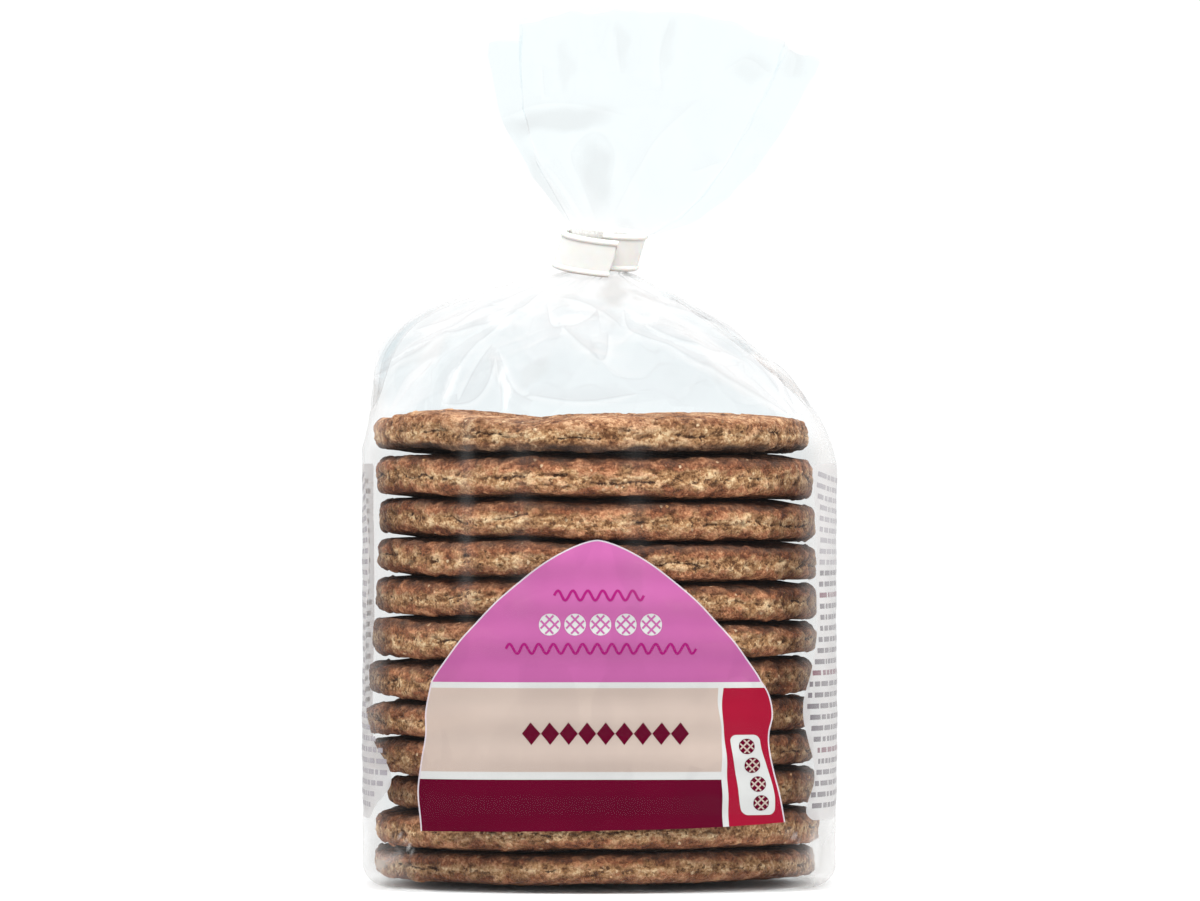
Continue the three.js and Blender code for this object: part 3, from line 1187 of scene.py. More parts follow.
@dataclass
class Wafer:
    """One wafer: two browned skins with a crumbly cut edge and a broken seam between them."""

    number: int
    place: WaferPlace
    finish: WaferFinish
    grid_on_top: bool = False
    around: int = 470
    rim_rows: int = 34
    corner_range: Pair = (1.2, 3.8)
    droop_range: Pair = (0.10, 0.28)
    droop_reach: float = 12.5
    side_rows: tuple[int, int] = (6, 3)
    grid_rows: tuple[int, int] = (12, 30)
    grid_pitch: float = 5.6
    grid_depth: float = 0.8
    crest_slant: float = 0.08
    depth_across: float = 91.6
    lump_size: Triple = (4.6, 4.6, 2.6)
    crumb_size: Triple = (2.2, 2.2, 1.5)
    pit_size: Triple = (3.2, 3.2, 1.3)
    frill_size: Triple = (3.6, 3.6, 8)
    lip_size: Triple = (4.4, 4.4, 2.6)
    pit_depth: float = 0.6
    seam_depth: float = 0.5
    frill_depth: float = 0.5
    skin_reach: Pair = (0.46, 0.24)

    def __post_init__(self) -> None:
        """Draws this wafer's own unevenness."""
        self.grain = Grain(100 + self.number)
        draw = np.random.default_rng(200 + self.number)
        self.back = draw.uniform(-0.5, 0.5)
        self.turn = draw.uniform(0, 2 * np.pi)
        self.rim = np.zeros((0, 3))

    def _varied(self, angles: Array, limits: Pair, level: float) -> Array:
        """Gives a size that drifts between its limits round the wafer.

        Args:
            angles: Angles round the wafer.
            limits: The least and the greatest size.
            level: Picks one drift of many.

        Returns:
            The size at each angle.
        """
        ring = np.stack([np.cos(angles), np.sin(angles), np.full_like(angles, level)], axis=-1)
        share = np.clip(0.5 + 0.9 * self.grain.smooth(ring * 1.4), 0, 1)
        return lerp(limits[0], limits[1], share)

    def _profile(self, angles: Array) -> tuple[Array, Array, Array]:
        """Lists the rings of the wafer from its underside's middle to its top's middle.

        The faces sink a little towards the rim, so that the gap between two wafers opens there.

        Args:
            angles: Angles round the wafer.

        Returns:
            For each ring and angle, how far in from the rim it is, its height from -1 to 1,
            and how much it belongs to the cut edge.
        """
        rise = np.sin(np.linspace(-1, 1, self.rim_rows) * np.pi / 2)[:, None]
        rounded = 1 - np.sqrt(1 - np.abs(rise) ** 4)
        sides = []
        upper_rows = self.grid_rows if self.grid_on_top else self.side_rows
        for side, (slope_rows, face_rows) in ((-1, self.side_rows), (1, upper_rows)):
            corner = self._varied(angles, self.corner_range, 3.0 * side)
            droop = self._varied(angles, self.droop_range, 5.0 * side)
            slope = np.linspace(0, 1, slope_rows + 1)[1:, None]
            edge_of_face = corner + self.droop_reach
            face = lerp(edge_of_face, self.place.width / 2 - 1, np.linspace(0, 1, face_rows + 1)[1:, None])
            inset = np.concatenate([corner + slope * self.droop_reach, face])
            height = np.concatenate([1 - droop * (1 - slope) ** 2, np.ones((face_rows, len(angles)))])
            sides.append((corner, droop, inset, height))
        (low_corner, low_droop, low_inset, low_height), (corner, droop, inset, height) = sides
        upper = rise > 0
        rim_inset = np.where(upper, corner, low_corner) * rounded
        rim_height = rise * (1 - np.where(upper, droop, low_droop))
        edge = smoothstep(1.0, 0.72, np.abs(rise)) * np.ones_like(rim_inset)
        return (
            np.concatenate([low_inset[::-1], rim_inset, inset]),
            np.concatenate([-low_height[::-1], rim_height, height]),
            np.concatenate([low_inset[::-1] * 0, edge, inset * 0]),
        )

    def _outline(self, angles: Array) -> Array:
        """Gives the wafer's radius at each angle, a little out of round.

        Args:
            angles: Angles round the wafer.

        Returns:
            The radius at each.
        """
        circle = np.stack([np.cos(angles), np.sin(angles), np.full_like(angles, 3.7)], axis=-1)
        half_across, half_deep = self.place.width / 2, self.depth_across / 2
        oval = half_across * half_deep / np.hypot(half_deep * np.cos(angles), half_across * np.sin(angles))
        return oval + 0.35 * self.grain.smooth(circle * 1.6) + 0.25 * self.grain.smooth(circle * 5)

    def _sway(self, x: Array, y: Array) -> Array:
        """Gives how far the wafer bends up or down, nearly alike for neighbours."""
        level = np.full_like(x, 0.2 * self.number)
        return 0.9 * STACK_GRAIN.smooth(np.stack([x / 22, y / 30, level], axis=-1))

    def _waffle(self, x: Array, y: Array) -> Array:
        """Gives the depth of the square pits that the iron pressed into a face.

        Args:
            x: How far right of the wafer's middle each point is.
            y: How far back each point is.

        Returns:
            Depths from 0 on a ridge to 1 in a pit.
        """
        cosine, sine = math.cos(self.turn), math.sin(self.turn)
        across, along = x * cosine + y * sine, y * cosine - x * sine
        ridge = np.maximum(
            np.abs(np.cos(np.pi * across / self.grid_pitch)),
            np.abs(np.cos(np.pi * along / self.grid_pitch)),
        )
        return smoothstep(0.93, 0.72, ridge)

    def build(self) -> Piece:
        """Makes the wafer.

        Returns:
            The wafer.
        """
        even = np.arange(self.around) * 2 * np.pi / self.around
        angles = even - 0.3 * np.cos(even)
        inset, height, edge = self._profile(angles)
        radius = self._outline(angles) - inset
        x = self.place.shift + radius * np.cos(angles)
        y = self.back + radius * np.sin(angles)
        low, high = (self.place.face(ends, x) for ends in (self.place.low, self.place.high))
        z = lerp(low, high, 0.5 + 0.5 * height) + self._sway(x, y)
        z -= self._sunk(x, y) * np.clip(0.5 + height, 0, 1)
        points = np.stack([x, y, z], axis=-1)
        points, marks = self._weather(points, height, edge)
        self.rim = points[edge[:, 0] > 0.5].reshape(-1, 3)
        sheet = SheetMesh(f"wafer_{self.number:02d}", points, closed=True)
        sheet.cap(0, points[0].mean(axis=0))
        sheet.cap(-1, points[-1].mean(axis=0))
        material = self.finish.material(sheet.name, self.place.tone, self.place.bake)
        return sheet.build(material, **marks)

    def _sunk(self, x: Array, y: Array) -> Array:
        """Gives how far the upper face sinks, alike along a slightly slanted line from front to back.

        Args:
            x: Distance to the right.
            y: Distance back.

        Returns:
            The depth at each point.
        """
        if self.place.crest is None:
            return np.zeros_like(x)
        return self.place.crest(x - self.crest_slant * (y + self.depth_across / 2))

    def _weather(self, points: Array, height: Array, edge: Array) -> tuple[Array, dict[str, Array]]:
        """Roughens the wafer, notes where it is browned or torn, and where shade is painted by its gaps and
        in its pits.

        Args:
            points: The smooth wafer.
            height: Height of each ring from -1 to 1.
            edge: How much each ring belongs to the cut edge.

        Returns:
            The rough wafer, and the marks that its finish reads.
        """
        normals = grid_normals(points, closed=True)
        lumps = self.grain.rough(points / np.array(self.lump_size), 2)
        crumbs = self.grain.rough(points / np.array(self.crumb_size) + 9, 2, 0.6)
        # The lumps' height also goes to the finish, which paints raised crumb lighter and dips darker.
        relief_and_shade = 0.5 * lumps + 0.5 * crumbs
        out = (0.32 + 0.26 * edge) * relief_and_shade
        pit_noise = self.grain.smooth(points / np.array(self.pit_size) + 31)
        pits = smoothstep(-0.40, -0.68, pit_noise) * edge * smoothstep(0.75, 0.4, np.abs(height))
        seam_place = points * np.array([1 / 12, 1 / 12, 0]) + np.array([0, 0, 5.5 + self.number])
        seam = height + 0.02 - 0.34 * self.grain.rough(seam_place, 4, 0.5)
        broken = smoothstep(0.06, 0.42, self.grain.rough(seam_place * 1.1 + 40, 4, 0.65)) * edge
        out = out - self.pit_depth * pits - self.seam_depth * np.exp(-(seam / 0.12) ** 2) * broken
        frill = self.grain.rough(points / np.array(self.frill_size) + 20, 2)
        out = out + self.frill_depth * frill * smoothstep(0.3, 0.75, np.abs(height)) * (edge > 0)
        if self.grid_on_top:
            grid = self._waffle(points[..., 0] - self.place.shift, points[..., 1])
            grid = grid * smoothstep(0.9, 1.0, height) * (1 - edge)
            out = out - self.grid_depth * grid
            # The waffle pits are painted darker.
            relief_and_shade = relief_and_shade - 1.1 * grid
        lip = self.grain.rough(points / np.array(self.lip_size) + 50, 2)
        skin_line = np.where(height > 0, self.skin_reach[1], self.skin_reach[0]) + 0.36 * lip
        # Painted shade: the upper rim darkens where the wafer above shades it (none on the top wafer), and
        # the lower rim darkens near the gap below.
        above = 0.0 if self.grid_on_top else 0.92 * smoothstep(0.2, 0.86, height)
        below = smoothstep(-self.place.shaded_from, -self.place.shaded_from - 0.3, height)
        gap_shade = np.where(height > 0, above, below)
        marks = {
            "gap_shade": gap_shade * (1 + 0.5 * lip),
            "skin": np.abs(height) - skin_line,
            # Painted shade in the carved pits of the cut edge.
            "pit_shade": 0.6 * pits,
            "relief_and_shade": relief_and_shade,
            "seam": seam,
            "broken": broken,
        }
        return points + normals * out[..., None], marks


STACK_GRAIN = Grain(23)


@dataclass
class Crumbs:
    """Loose crumbs that cling to the cut edges of the wafers."""

    count: int = 240
    finish: WaferFinish = WaferFinish()
    smallest: float = 0.16
    largest: float = 0.42

    def build(self, rims: Array) -> Piece:
        """Makes all the crumbs as one mesh of small rough lumps.

        Args:
            rims: Points on the wafers' cut edges, where crumbs may sit.

        Returns:
            The crumbs.
        """
        draw = np.random.default_rng(77)
        corners, triangles = self._lump()
        vertices, faces = [], []
        for centre in rims[draw.integers(0, len(rims), self.count)]:
            size = self.smallest + (self.largest - self.smallest) * draw.uniform() ** 2
            stretch = draw.uniform(0.7, 1.2, 3) * size
            jitter = draw.uniform(0.8, 1.2, (len(corners), 1))
            start = len(vertices)
            vertices += [tuple(p) for p in ((corners * stretch * jitter + centre) * MM)]
            faces += [tuple(start + i for i in f) for f in triangles]
        return mesh_object("crumbs", vertices, faces, self.finish.material("crumbs", 1.2, 0.4))

    @staticmethod
    def _lump() -> tuple[Array, list[tuple[int, ...]]]:
        """Gives the corners and faces of a twenty-sided lump.

        Returns:
            The corners, and the faces as their numbers.
        """
        golden = (1 + 5 ** 0.5) / 2
        signs = list(itertools.product((-1, 1), repeat=2))
        corners = [(a, b * golden, 0) for a, b in signs]
        corners += [(0, a, b * golden) for a, b in signs]
        corners += [(a * golden, 0, b) for b, a in signs]
        points = np.array(corners, float)
        points /= np.linalg.norm(points, axis=1, keepdims=True)
        near = np.linalg.norm(points[:, None] - points[None], axis=2) < 1.1
        faces = []
        for a, b, c in itertools.combinations(range(len(points)), 3):
            if near[a, b] and near[b, c] and near[a, c]:
                turn = np.dot(np.cross(points[b] - points[a], points[c] - points[a]), points[a])
                faces.append((a, b, c) if turn > 0 else (a, c, b))
        return points, faces


@dataclass
class WaferStack:
    """The whole stack with its crumbs."""

    finish: WaferFinish = WaferFinish()

    @staticmethod
    def rims() -> list[float]:
        """Gives the height of each wafer's rim from the bottom up."""
        return [place.middle for place in STACK]

    def build(self) -> list[Piece]:
        """Makes the wafers and the crumbs.

        Returns:
            The pieces, wafers first.
        """
        wafers = [
            Wafer(number, place, self.finish, grid_on_top=number == len(STACK))
            for number, place in enumerate(STACK, start=1)
        ]
        pieces = [wafer.build() for wafer in wafers]
        pieces.append(Crumbs(finish=self.finish).build(np.concatenate([wafer.rim for wafer in wafers])))
        for piece in pieces:
            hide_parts("bag")
        return pieces


# ---- film


@dataclass(frozen=True)
class Crease:
    """A sharp fold that stands out of the film along a line seen from the front.

    Attributes:
        path: Pairs of distance to the right and height.
        depth: How far the fold stands out, or in where it is negative.
        width: How far from the line it runs out.
    """

    path: tuple[Pair, ...]
    depth: float
    width: float

    def _smooth_path(self) -> Array:
        """Runs a smooth line through the path's points.

        Returns:
            Points along the line.
        """
        given = np.array(self.path, float)
        padded = np.concatenate([2 * given[:1] - given[1:2], given, 2 * given[-1:] - given[-2:-1]])
        share = np.linspace(0, 1, 5)[:-1, None]
        parts = []
        for before, start, end, after in zip(padded, padded[1:], padded[2:], padded[3:]):
            bend = 2 * before - 5 * start + 4 * end - after
            twist = 3 * start - before - 3 * end + after
            parts.append(start + 0.5 * share * (end - before + share * (bend + share * twist)))
        return np.concatenate([*parts, given[-1:]])

    def measure(self, across: Array, heights: Array) -> tuple[Array, Array]:
        """Measures how points seen from the front lie to the fold.

        Args:
            across: Distance to the right of the middle.
            heights: Height above the base.

        Returns:
            The distance from the line, above 0 on its left, and how strong the fold is there.
        """
        line = self._smooth_path()
        lengths = np.linalg.norm(np.diff(line, axis=0), axis=1)
        total, walked = lengths.sum(), 0.0
        nearest = np.full_like(across, 1e6)
        strength = np.zeros_like(across)
        for start, end, length in zip(line[:-1], line[1:], lengths):
            along = (end - start) / length
            dx, dz = across - start[0], heights - start[1]
            share = np.clip((dx * along[0] + dz * along[1]) / length, 0, 1)
            gap = np.hypot(dx - share * length * along[0], dz - share * length * along[1])
            signed = np.where(dz * along[0] - dx * along[1] < 0, -gap, gap)
            place = (walked + share * length) / total
            closer = gap < np.abs(nearest)
            nearest = np.where(closer, signed, nearest)
            strength = np.where(closer, np.clip(np.minimum(place, 1 - place) * 6, 0.02, 1), strength)
            walked += length
        return nearest, strength


SHOULDER_CREASES = (
    Crease(((-47, 107), (-38, 111.5), (-27, 119), (-13, 126)), 0.9, 2.4),
    Crease(((-45.5, 109.5), (-35, 114), (-24, 117.5), (-14, 121.5)), 0.6, 1.6),
    Crease(((-39, 116.5), (-30, 119), (-20, 121.5)), 0.5, 1.6),
    Crease(((-33, 101), (-28.5, 109.5), (-23, 115.5), (-11, 125)), 0.8, 2.0),
    Crease(((-29.5, 101), (-26, 108), (-22, 114)), -0.7, 1.6),
    Crease(((-33, 101), (-27, 101.2), (-23.5, 104.5), (-21.6, 110.5)), 0.7, 1.5),
    Crease(((-21, 112), (-18, 104.5), (-13.5, 101.5)), -0.8, 2.4),
    Crease(((-16, 103), (-4, 101.5), (8, 103)), 0.4, 1.8),
    Crease(((-9, 118), (-3, 112.5), (0, 109.5)), 0.9, 1.6),
    Crease(((1.8, 116), (1.5, 111.5), (0, 109.5)), -0.7, 1.6),
    Crease(((-8, 123), (-2, 121.5), (3, 118.5), (4.5, 116.8)), 0.8, 1.2),
    Crease(((-11, 122), (-9.5, 117), (-3, 118.5), (1, 122)), -0.6, 1.6),
    Crease(((5, 121), (6.5, 116), (14.3, 112.8), (26, 106.4), (40.5, 98)), 1.0, 1.9),
    Crease(((9, 117.5), (16, 114.5), (26, 111.2), (30, 110)), 0.6, 1.3),
    Crease(((7, 124), (17, 120.5), (26, 117.5), (33, 112.5)), 0.6, 1.6),
    Crease(((30, 111), (34.5, 107), (38.5, 101.5), (40.8, 98)), 0.8, 1.3),
    Crease(((33, 111.5), (38, 106.5), (41.5, 98.5)), -0.6, 1.2),
    Crease(((36, 110.5), (40.5, 106), (43.5, 100)), 0.6, 1.4),
    Crease(((5.5, 127.5), (11, 124.5), (15, 121)), -0.7, 1.6),
    Crease(((-43, 13), (-40.6, 8), (-38.6, 5)), 0.9, 1.3),
    Crease(((-46.5, 8.5), (-43, 6.5)), 0.6, 1.1),
    Crease(((38.5, 14), (40.2, 10.5)), 0.6, 1.0),
)

FAN_CREASES = (
    Crease(((-4, 139), (-8, 146), (-14, 155)), 0.8, 2.0),
    Crease(((-3, 140), (-9.5, 150), (-13, 152)), -0.6, 1.6),
    Crease(((-0.5, 139), (-3, 146), (-6, 154), (-1, 158.5), (3, 154), (2, 146)), -0.9, 2.2),
    Crease(((-21, 161.5), (-12, 164.5), (-2, 164), (6, 161.5)), 0.9, 2.6),
    Crease(((-12, 173), (-11.5, 166.5), (-9.6, 166)), 0.6, 2.0),
    Crease(((3, 141), (11, 156), (21, 165.5)), 0.5, 1.8),
    Crease(((4, 180), (4.6, 170)), 0.6, 1.6),
    Crease(((15, 183), (12.5, 174), (13, 167)), 0.5, 1.8),
    Crease(((26, 171), (31, 174), (36, 170.5)), 0.7, 2.0),
    Crease(((37.5, 177), (41.5, 174.5), (40.5, 170)), 0.6, 1.6),
    Crease(((19, 150), (26, 152.5)), 0.6, 1.4),
)


def on_front_side(points: Array) -> Array:
    """Tells which points of rings of film are before their ring's middle."""
    return points[..., 1] < points[..., 1].mean(axis=1, keepdims=True)


@dataclass(frozen=True)
class Smear:
    """A soft patch on the film as it is seen from the front: grey where the film overlaps itself in folds,
    and white as a painted highlight among the glints.

    Attributes:
        middle: Its middle, across and up.
        reach: Its half width and half height before it is turned.
        turn: The angle that it is turned by, counterclockwise, in degrees.
        strength: How strong it is: how grey, and for a glint, how white.
    """

    middle: Pair
    reach: Pair
    turn: float
    strength: float

    def shade(self, across: Array, heights: Array) -> Array:
        """Gives how strongly the patch covers points seen from the front.

        Args:
            across: Distance to the right of the middle.
            heights: Height above the base.

        Returns:
            How strongly each point is covered, from 0 to the patch's strength.
        """
        turn = math.radians(self.turn)
        dx, dz = across - self.middle[0], heights - self.middle[1]
        along = (dx * math.cos(turn) + dz * math.sin(turn)) / self.reach[0]
        aside = (dz * math.cos(turn) - dx * math.sin(turn)) / self.reach[1]
        return self.strength * smoothstep(1.3, 0.45, np.hypot(along, aside))


def smeared(points: Array, smears: Sequence[Smear]) -> Array:
    """Gives how strongly the front film is covered by all its patches: grey ones, and the white painted
    highlights among the glints.

    Args:
        points: Points on the film.
        smears: The patches.

    Returns:
        The cover, from 0 to 1.
    """
    ragged = points + 1.6 * np.stack([FILM_GRAIN.smooth(points / 5 + 13 * k) for k in range(3)], axis=-1)
    shade = sum(smear.shade(ragged[..., 0], ragged[..., 2]) for smear in smears)
    return np.clip(shade * on_front_side(points), 0, 1)


SHOULDER_SMEARS = (
    Smear((3.3, 124.0), (3.0, 4.6), 0, 1.0),
    Smear((9.5, 122.0), (5.0, 1.8), -32, 0.6),
    Smear((-37.5, 112.2), (6.5, 1.5), 20, 0.7),
    Smear((-16.5, 106.5), (7.0, 2.6), 35, 0.5),
    Smear((-21.0, 109.5), (1.1, 4.6), 0, 0.6),
    Smear((-2.0, 116.0), (3.2, 4.4), -35, 0.4),
    Smear((27.0, 105.6), (13.0, 1.5), -29, 0.7),
    Smear((-47.5, 100.5), (2.4, 5.0), 0, 0.8),
    Smear((37.0, 108.5), (5.0, 2.0), -35, 0.4),
)

NECK_GREY_PATCHES = (
    Smear((3.2, 124.6), (3.4, 3.4), 0, 1.0),
    Smear((9.3, 123.6), (3.8, 1.5), -35, 0.5),
    Smear((-5.5, 124.5), (5.0, 2.2), 25, 0.22),
    Smear((1.0, 119.5), (4.0, 1.6), -40, 0.22),
    Smear((-36.5, 111.6), (6.5, 1.5), 24, 0.34),
    Smear((28.0, 105.0), (12.0, 1.3), -30, 0.36),
    Smear((-47.0, 101.5), (2.6, 4.6), 0, 0.34),
    Smear((-21.3, 109.0), (1.3, 4.2), 8, 0.3),
    Smear((-13.5, 107.5), (4.4, 2.0), 38, 0.22),
    Smear((-28.0, 116.5), (8.0, 1.0), 27, 0.16),
    Smear((38.5, 107.0), (5.6, 1.3), -42, 0.24),
    Smear((14.0, 118.0), (7.0, 1.2), -22, 0.16),
    Smear((-3.0, 113.0), (4.2, 1.3), -42, 0.2),
)

GLINTS = (
    Smear((-19.6, 104.0), (0.9, 4.6), 4, 0.8),
    Smear((-31.0, 104.5), (1.0, 4.5), -28, 0.6),
    Smear((38.8, 103.0), (5.6, 0.5), -62, 0.8),
    Smear((34.5, 109.5), (3.0, 0.9), -40, 0.5),
    Smear((-5.6, 119.0), (2.2, 1.6), 0, 0.6),
    Smear((9.0, 119.4), (3.6, 0.8), -12, 0.6),
    Smear((-21.0, 119.0), (3.0, 1.4), 25, 0.4),
    Smear((-39.8, 9.3), (3.9, 0.32), -64, 0.9),
    Smear((-44.5, 6.5), (3.0, 1.6), 30, 0.5),
    Smear((40.6, 12.4), (2.6, 0.35), -60, 0.6),
    Smear((45.0, 9.0), (1.6, 4.0), 0, 0.4),
)

FAN_SMEARS = (
    Smear((-8.0, 160.8), (11.0, 2.4), 5, 0.9),
    Smear((-18.0, 159.5), (5.0, 2.6), 0, 0.4),
    Smear((-0.3, 149.0), (3.6, 7.5), 8, 0.9),
    Smear((-11.5, 147.5), (2.0, 9.0), 32, 0.6),
    Smear((-7.0, 172.0), (1.8, 5.5), 0, 0.4),
    Smear((4.5, 177.0), (1.0, 5.0), 0, 0.35),
    Smear((14.5, 177.0), (1.4, 5.5), -12, 0.35),
    Smear((31.5, 171.5), (4.2, 2.6), 0, 0.4),
    Smear((41.0, 173.0), (2.6, 3.2), 0, 0.35),
    Smear((6.0, 137.8), (2.6, 2.6), 0, 0.5),
)


@dataclass
class FilmBag:
    """The clear film: closed round the stack below the strip, and flared above it."""

    form: BagForm
    finish: FilmFinish = FilmFinish()
    around: int = 440
    shoulder_pleats: int = 12
    pleat_depth: float = 3.0
    pleat_skew: float = 1.1
    fine_pleats: int = 34
    fine_depth: float = 0.7
    ruffles: int = 8
    ruffle_depth: float = 5.5
    ruffle_skew: float = 0.9
    mouth_wave: float = 2.4
    neck_swell: float = 0.9
    stack_top: float = 99.6
    neck_pleat: float = 0.35
    crease_lift: float = 0.5
    crinkle_lift: float = 0.5
    crinkle_size: Triple = (13, 13, 19)
    corner_reach: float = 46.0
    ends_grey: float = 0.6
    foot_grey: float = 0.34
    gather_veil: float = 0.12
    crease_veil: float = 0.06
    # Painted sheen: white haze where the film curves round the ends of the stack, more on the right.
    end_glare: float = 0.08
    right_end_glare: float = 0.14
    foot_veil: float = 0.1
    glint_veil: float = 0.3
    fan_tint: float = 0.8
    fan_grey: float = 0.24
    fan_sheen: float = 0.05
    fan_crisp: float = 0.3
    facets: Pair = (0.8, 0.16)
    # Painted reflections: upright white bands of haze on the front film over the stack, each as place
    # across, width and strength.
    reflection_streaks: tuple[Triple, ...] = ((-27.5, 1.4, 0.03), (-16, 2.2, 0.012), (7.5, 2.6, 0.012))

    def __post_init__(self) -> None:
        """Works out the angles that all rings share."""
        self.angles = (np.arange(self.around) * 2 * np.pi / self.around)[None]

    def _pleat(self, count: int, skew: float) -> Array:
        """Gives how far in uneven pleats lie, 0 on a crest and 1 in a fold."""
        return 0.5 - 0.5 * np.cos(count * self.angles + skew * np.sin(2 * self.angles))

    def _fine_pleat(self) -> Array:
        """Gives narrow sharp pleats of uneven width round the neck."""
        warp = 1.7 * np.sin(3 * self.angles + 0.4) + 1.1 * np.sin(5 * self.angles + 2.0)
        return np.abs(np.sin(self.fine_pleats / 2 * self.angles + warp))

    def _neck_pleats(self, share: float) -> Array:
        """Gives how far in the film lies inside the strip, with a share of its narrow pleats."""
        wide = self.neck_pleat * self._pleat(self.shoulder_pleats, self.pleat_skew)
        return wide + share * self.fine_depth * self._fine_pleat()

    def _creased(
        self, points: Array, creases: Sequence[Crease], crisp: float
    ) -> tuple[Array, dict[str, Array]]:
        """Folds sharp creases into the front film, and the same ones mirrored into the back.

        Args:
            points: Rings of film.
            creases: The folds as they are seen from the front.
            crisp: How clearly the front folds show; those at the back show less.

        Returns:
            The creased rings, and the marks of their folds that the finish reads.
        """
        normals = grid_normals(points, closed=True)
        in_front = on_front_side(points)
        across = np.where(in_front, points[..., 0], -0.9 * points[..., 0])
        out = np.zeros_like(across)
        fold = np.full_like(across, 9.0)
        for crease in creases:
            distance, strength = crease.measure(across, points[..., 2])
            lifted = np.clip(1 - np.abs(distance) / crease.width, 0, 1) ** 1.3
            out += self.crease_lift * crease.depth * strength * lifted
            marked = distance / strength * np.sign(crease.depth)
            fold = np.where(np.abs(marked) < np.abs(fold), marked, fold)
        heights = points[..., 2]
        crinkle = FILM_GRAIN.rough(points / np.array(self.crinkle_size), 2, 0.5)
        out += self.crinkle_lift * np.clip(1 - 2.5 * np.abs(crinkle), 0, 1) * smoothstep(99, 108, heights)
        hidden = smoothstep(0.1, 0.3, FILM_GRAIN.smooth(points / 21 + 70)) + smoothstep(104, 98, heights)
        marks = {
            "fold": fold,
            "crinkle": np.abs(crinkle) + hidden,
            "crisp": crisp * np.where(in_front, 1.0, 0.25),
        }
        return points + normals * out[..., None], marks

    def _lower_rings(self) -> tuple[Array, Array]:
        """Works out the film from its base to the middle of the strip.

        Returns:
            The points and how tightly the film is gathered at each.
        """
        form = self.form
        foot = form.foot_height * (1 - np.cos(np.linspace(0, np.pi / 2, 9)))
        heights = np.concatenate([foot, np.arange(foot[-1] + 1.1, form.right.start, 1.1)])
        body = form.body(heights).points(self.angles, form.body_relief(self.angles, heights))
        climb = np.linspace(0, 1, 112)[1:]
        heights = lerp(form.right.start, form.neck_bottom, 1 - (1 - climb) ** 1.25)
        above = np.clip((heights - self.stack_top) / (form.neck_bottom - self.stack_top), 0, 1)[:, None]
        folds = self.pleat_depth * np.sin(np.pi * above ** 0.75) + self.neck_pleat * above
        inward = folds * self._pleat(self.shoulder_pleats, self.pleat_skew)
        inward = inward + self.fine_depth * above ** 2.2 * self._fine_pleat()
        fade = smoothstep(100, 86, heights)[:, None]
        inward = inward + fade * form.body_relief(self.angles, heights)
        shoulders = form.shoulders(heights).points(self.angles, inward)
        heights = np.linspace(form.neck_bottom, form.neck_middle, 6)[1:]
        inward = np.repeat(self._neck_pleats(1.0), len(heights), axis=0)
        neck = form.neck(heights).points(self.angles, inward)
        gather = np.concatenate([np.zeros(len(body)), above[:, 0] ** 5, np.ones(len(neck))])
        return np.concatenate([body, shoulders, neck]), gather[:, None] * np.ones_like(self.angles)

    def _base_rings(self, ring: Array) -> Array:
        """Gives the rings of the flat base inside a ring, from the middle out.

        Args:
            ring: The outermost ring, which is left out.

        Returns:
            The rings inside it.
        """
        shares = np.array([0.15, 0.4, 0.65, 0.85, 0.96])[:, None, None]
        centre = ring.mean(axis=0)
        rings = lerp(centre, ring, shares)
        rings[..., 2] = ring[..., 2].mean()
        return rings

    def _fan_rings(self) -> tuple[Array, Array]:
        """Works out the film from the middle of the strip to its open mouth.

        Returns:
            The points and how tightly the film is gathered at each.
        """
        form = self.form
        heights = np.linspace(form.neck_middle, form.neck_top, 6)
        pleat = self._neck_pleats(0.3)
        opening = np.linspace(0, 1, len(heights))[:, None] ** 2
        neck = form.neck(heights).points(self.angles, pleat - self.neck_swell * opening)
        climbed = np.linspace(0, 1, 86)[1:]
        opened = (climbed ** 0.8)[:, None]
        ruffle = self.ruffle_depth * opened * self._pleat(self.ruffles, self.ruffle_skew)
        left_over = (1 - climbed[:, None]) ** 3
        ruffle = ruffle + left_over * pleat + 0.5 * opened * (1 - opened) * self._fine_pleat()
        ruffle = ruffle - self.neck_swell * (1 - climbed[:, None]) ** 12
        fan = form.fan(climbed).points(self.angles, ruffle)
        fan[..., 2] += self.mouth_wave * FILM_GRAIN.rough(fan / 11 + 5, 2) * (climbed ** 5)[:, None]
        edge = np.zeros(len(climbed))
        edge[-1] = 0.6
        gather = np.concatenate([np.ones(len(neck)), (1 - climbed) ** 6 + edge])
        return np.concatenate([neck, fan]), gather[:, None] * np.ones_like(self.angles)

    def _tint(self, points: Array) -> Array:
        """Gives how grey the lower film is: more over the stack and in its lower corners.

        Args:
            points: Points on the film.

        Returns:
            The grey, from 0 to 1.
        """
        outside = np.hypot(points[..., 0], points[..., 1]) / self.corner_reach
        corner = smoothstep(1.03, 1.15, outside) * smoothstep(26, 8, points[..., 2])
        over = 0.5 * smoothstep(96, 104, points[..., 2])
        return np.clip(over + corner + self._ends(points) + smeared(points, SHOULDER_SMEARS), 0, 1)

    @staticmethod
    def _ends(points: Array) -> Array:
        """Gives how far points lie in the rear corners, behind the ends of the wafers."""
        ends = smoothstep(34, 41, np.abs(points[..., 0])) * smoothstep(96, 90, points[..., 2])
        return ends * smoothstep(12, 28, points[..., 1])

    @staticmethod
    def _foot(points: Array) -> Array:
        """Gives how far points lie in the upright corners, where the film is dull near the base."""
        return smoothstep(36, 44, np.abs(points[..., 0])) * smoothstep(2, 32, np.abs(points[..., 1]))

    def _grey_patches(self, points: Array) -> Array:
        """Gives how grey the lower film is: in patches, in its lower corners and behind the ends."""
        foot = self.foot_grey * smoothstep(18, 2, points[..., 2]) * self._foot(points) ** 2
        return np.clip(foot + self.ends_grey * self._ends(points) + smeared(points, NECK_GREY_PATCHES), 0, 1)

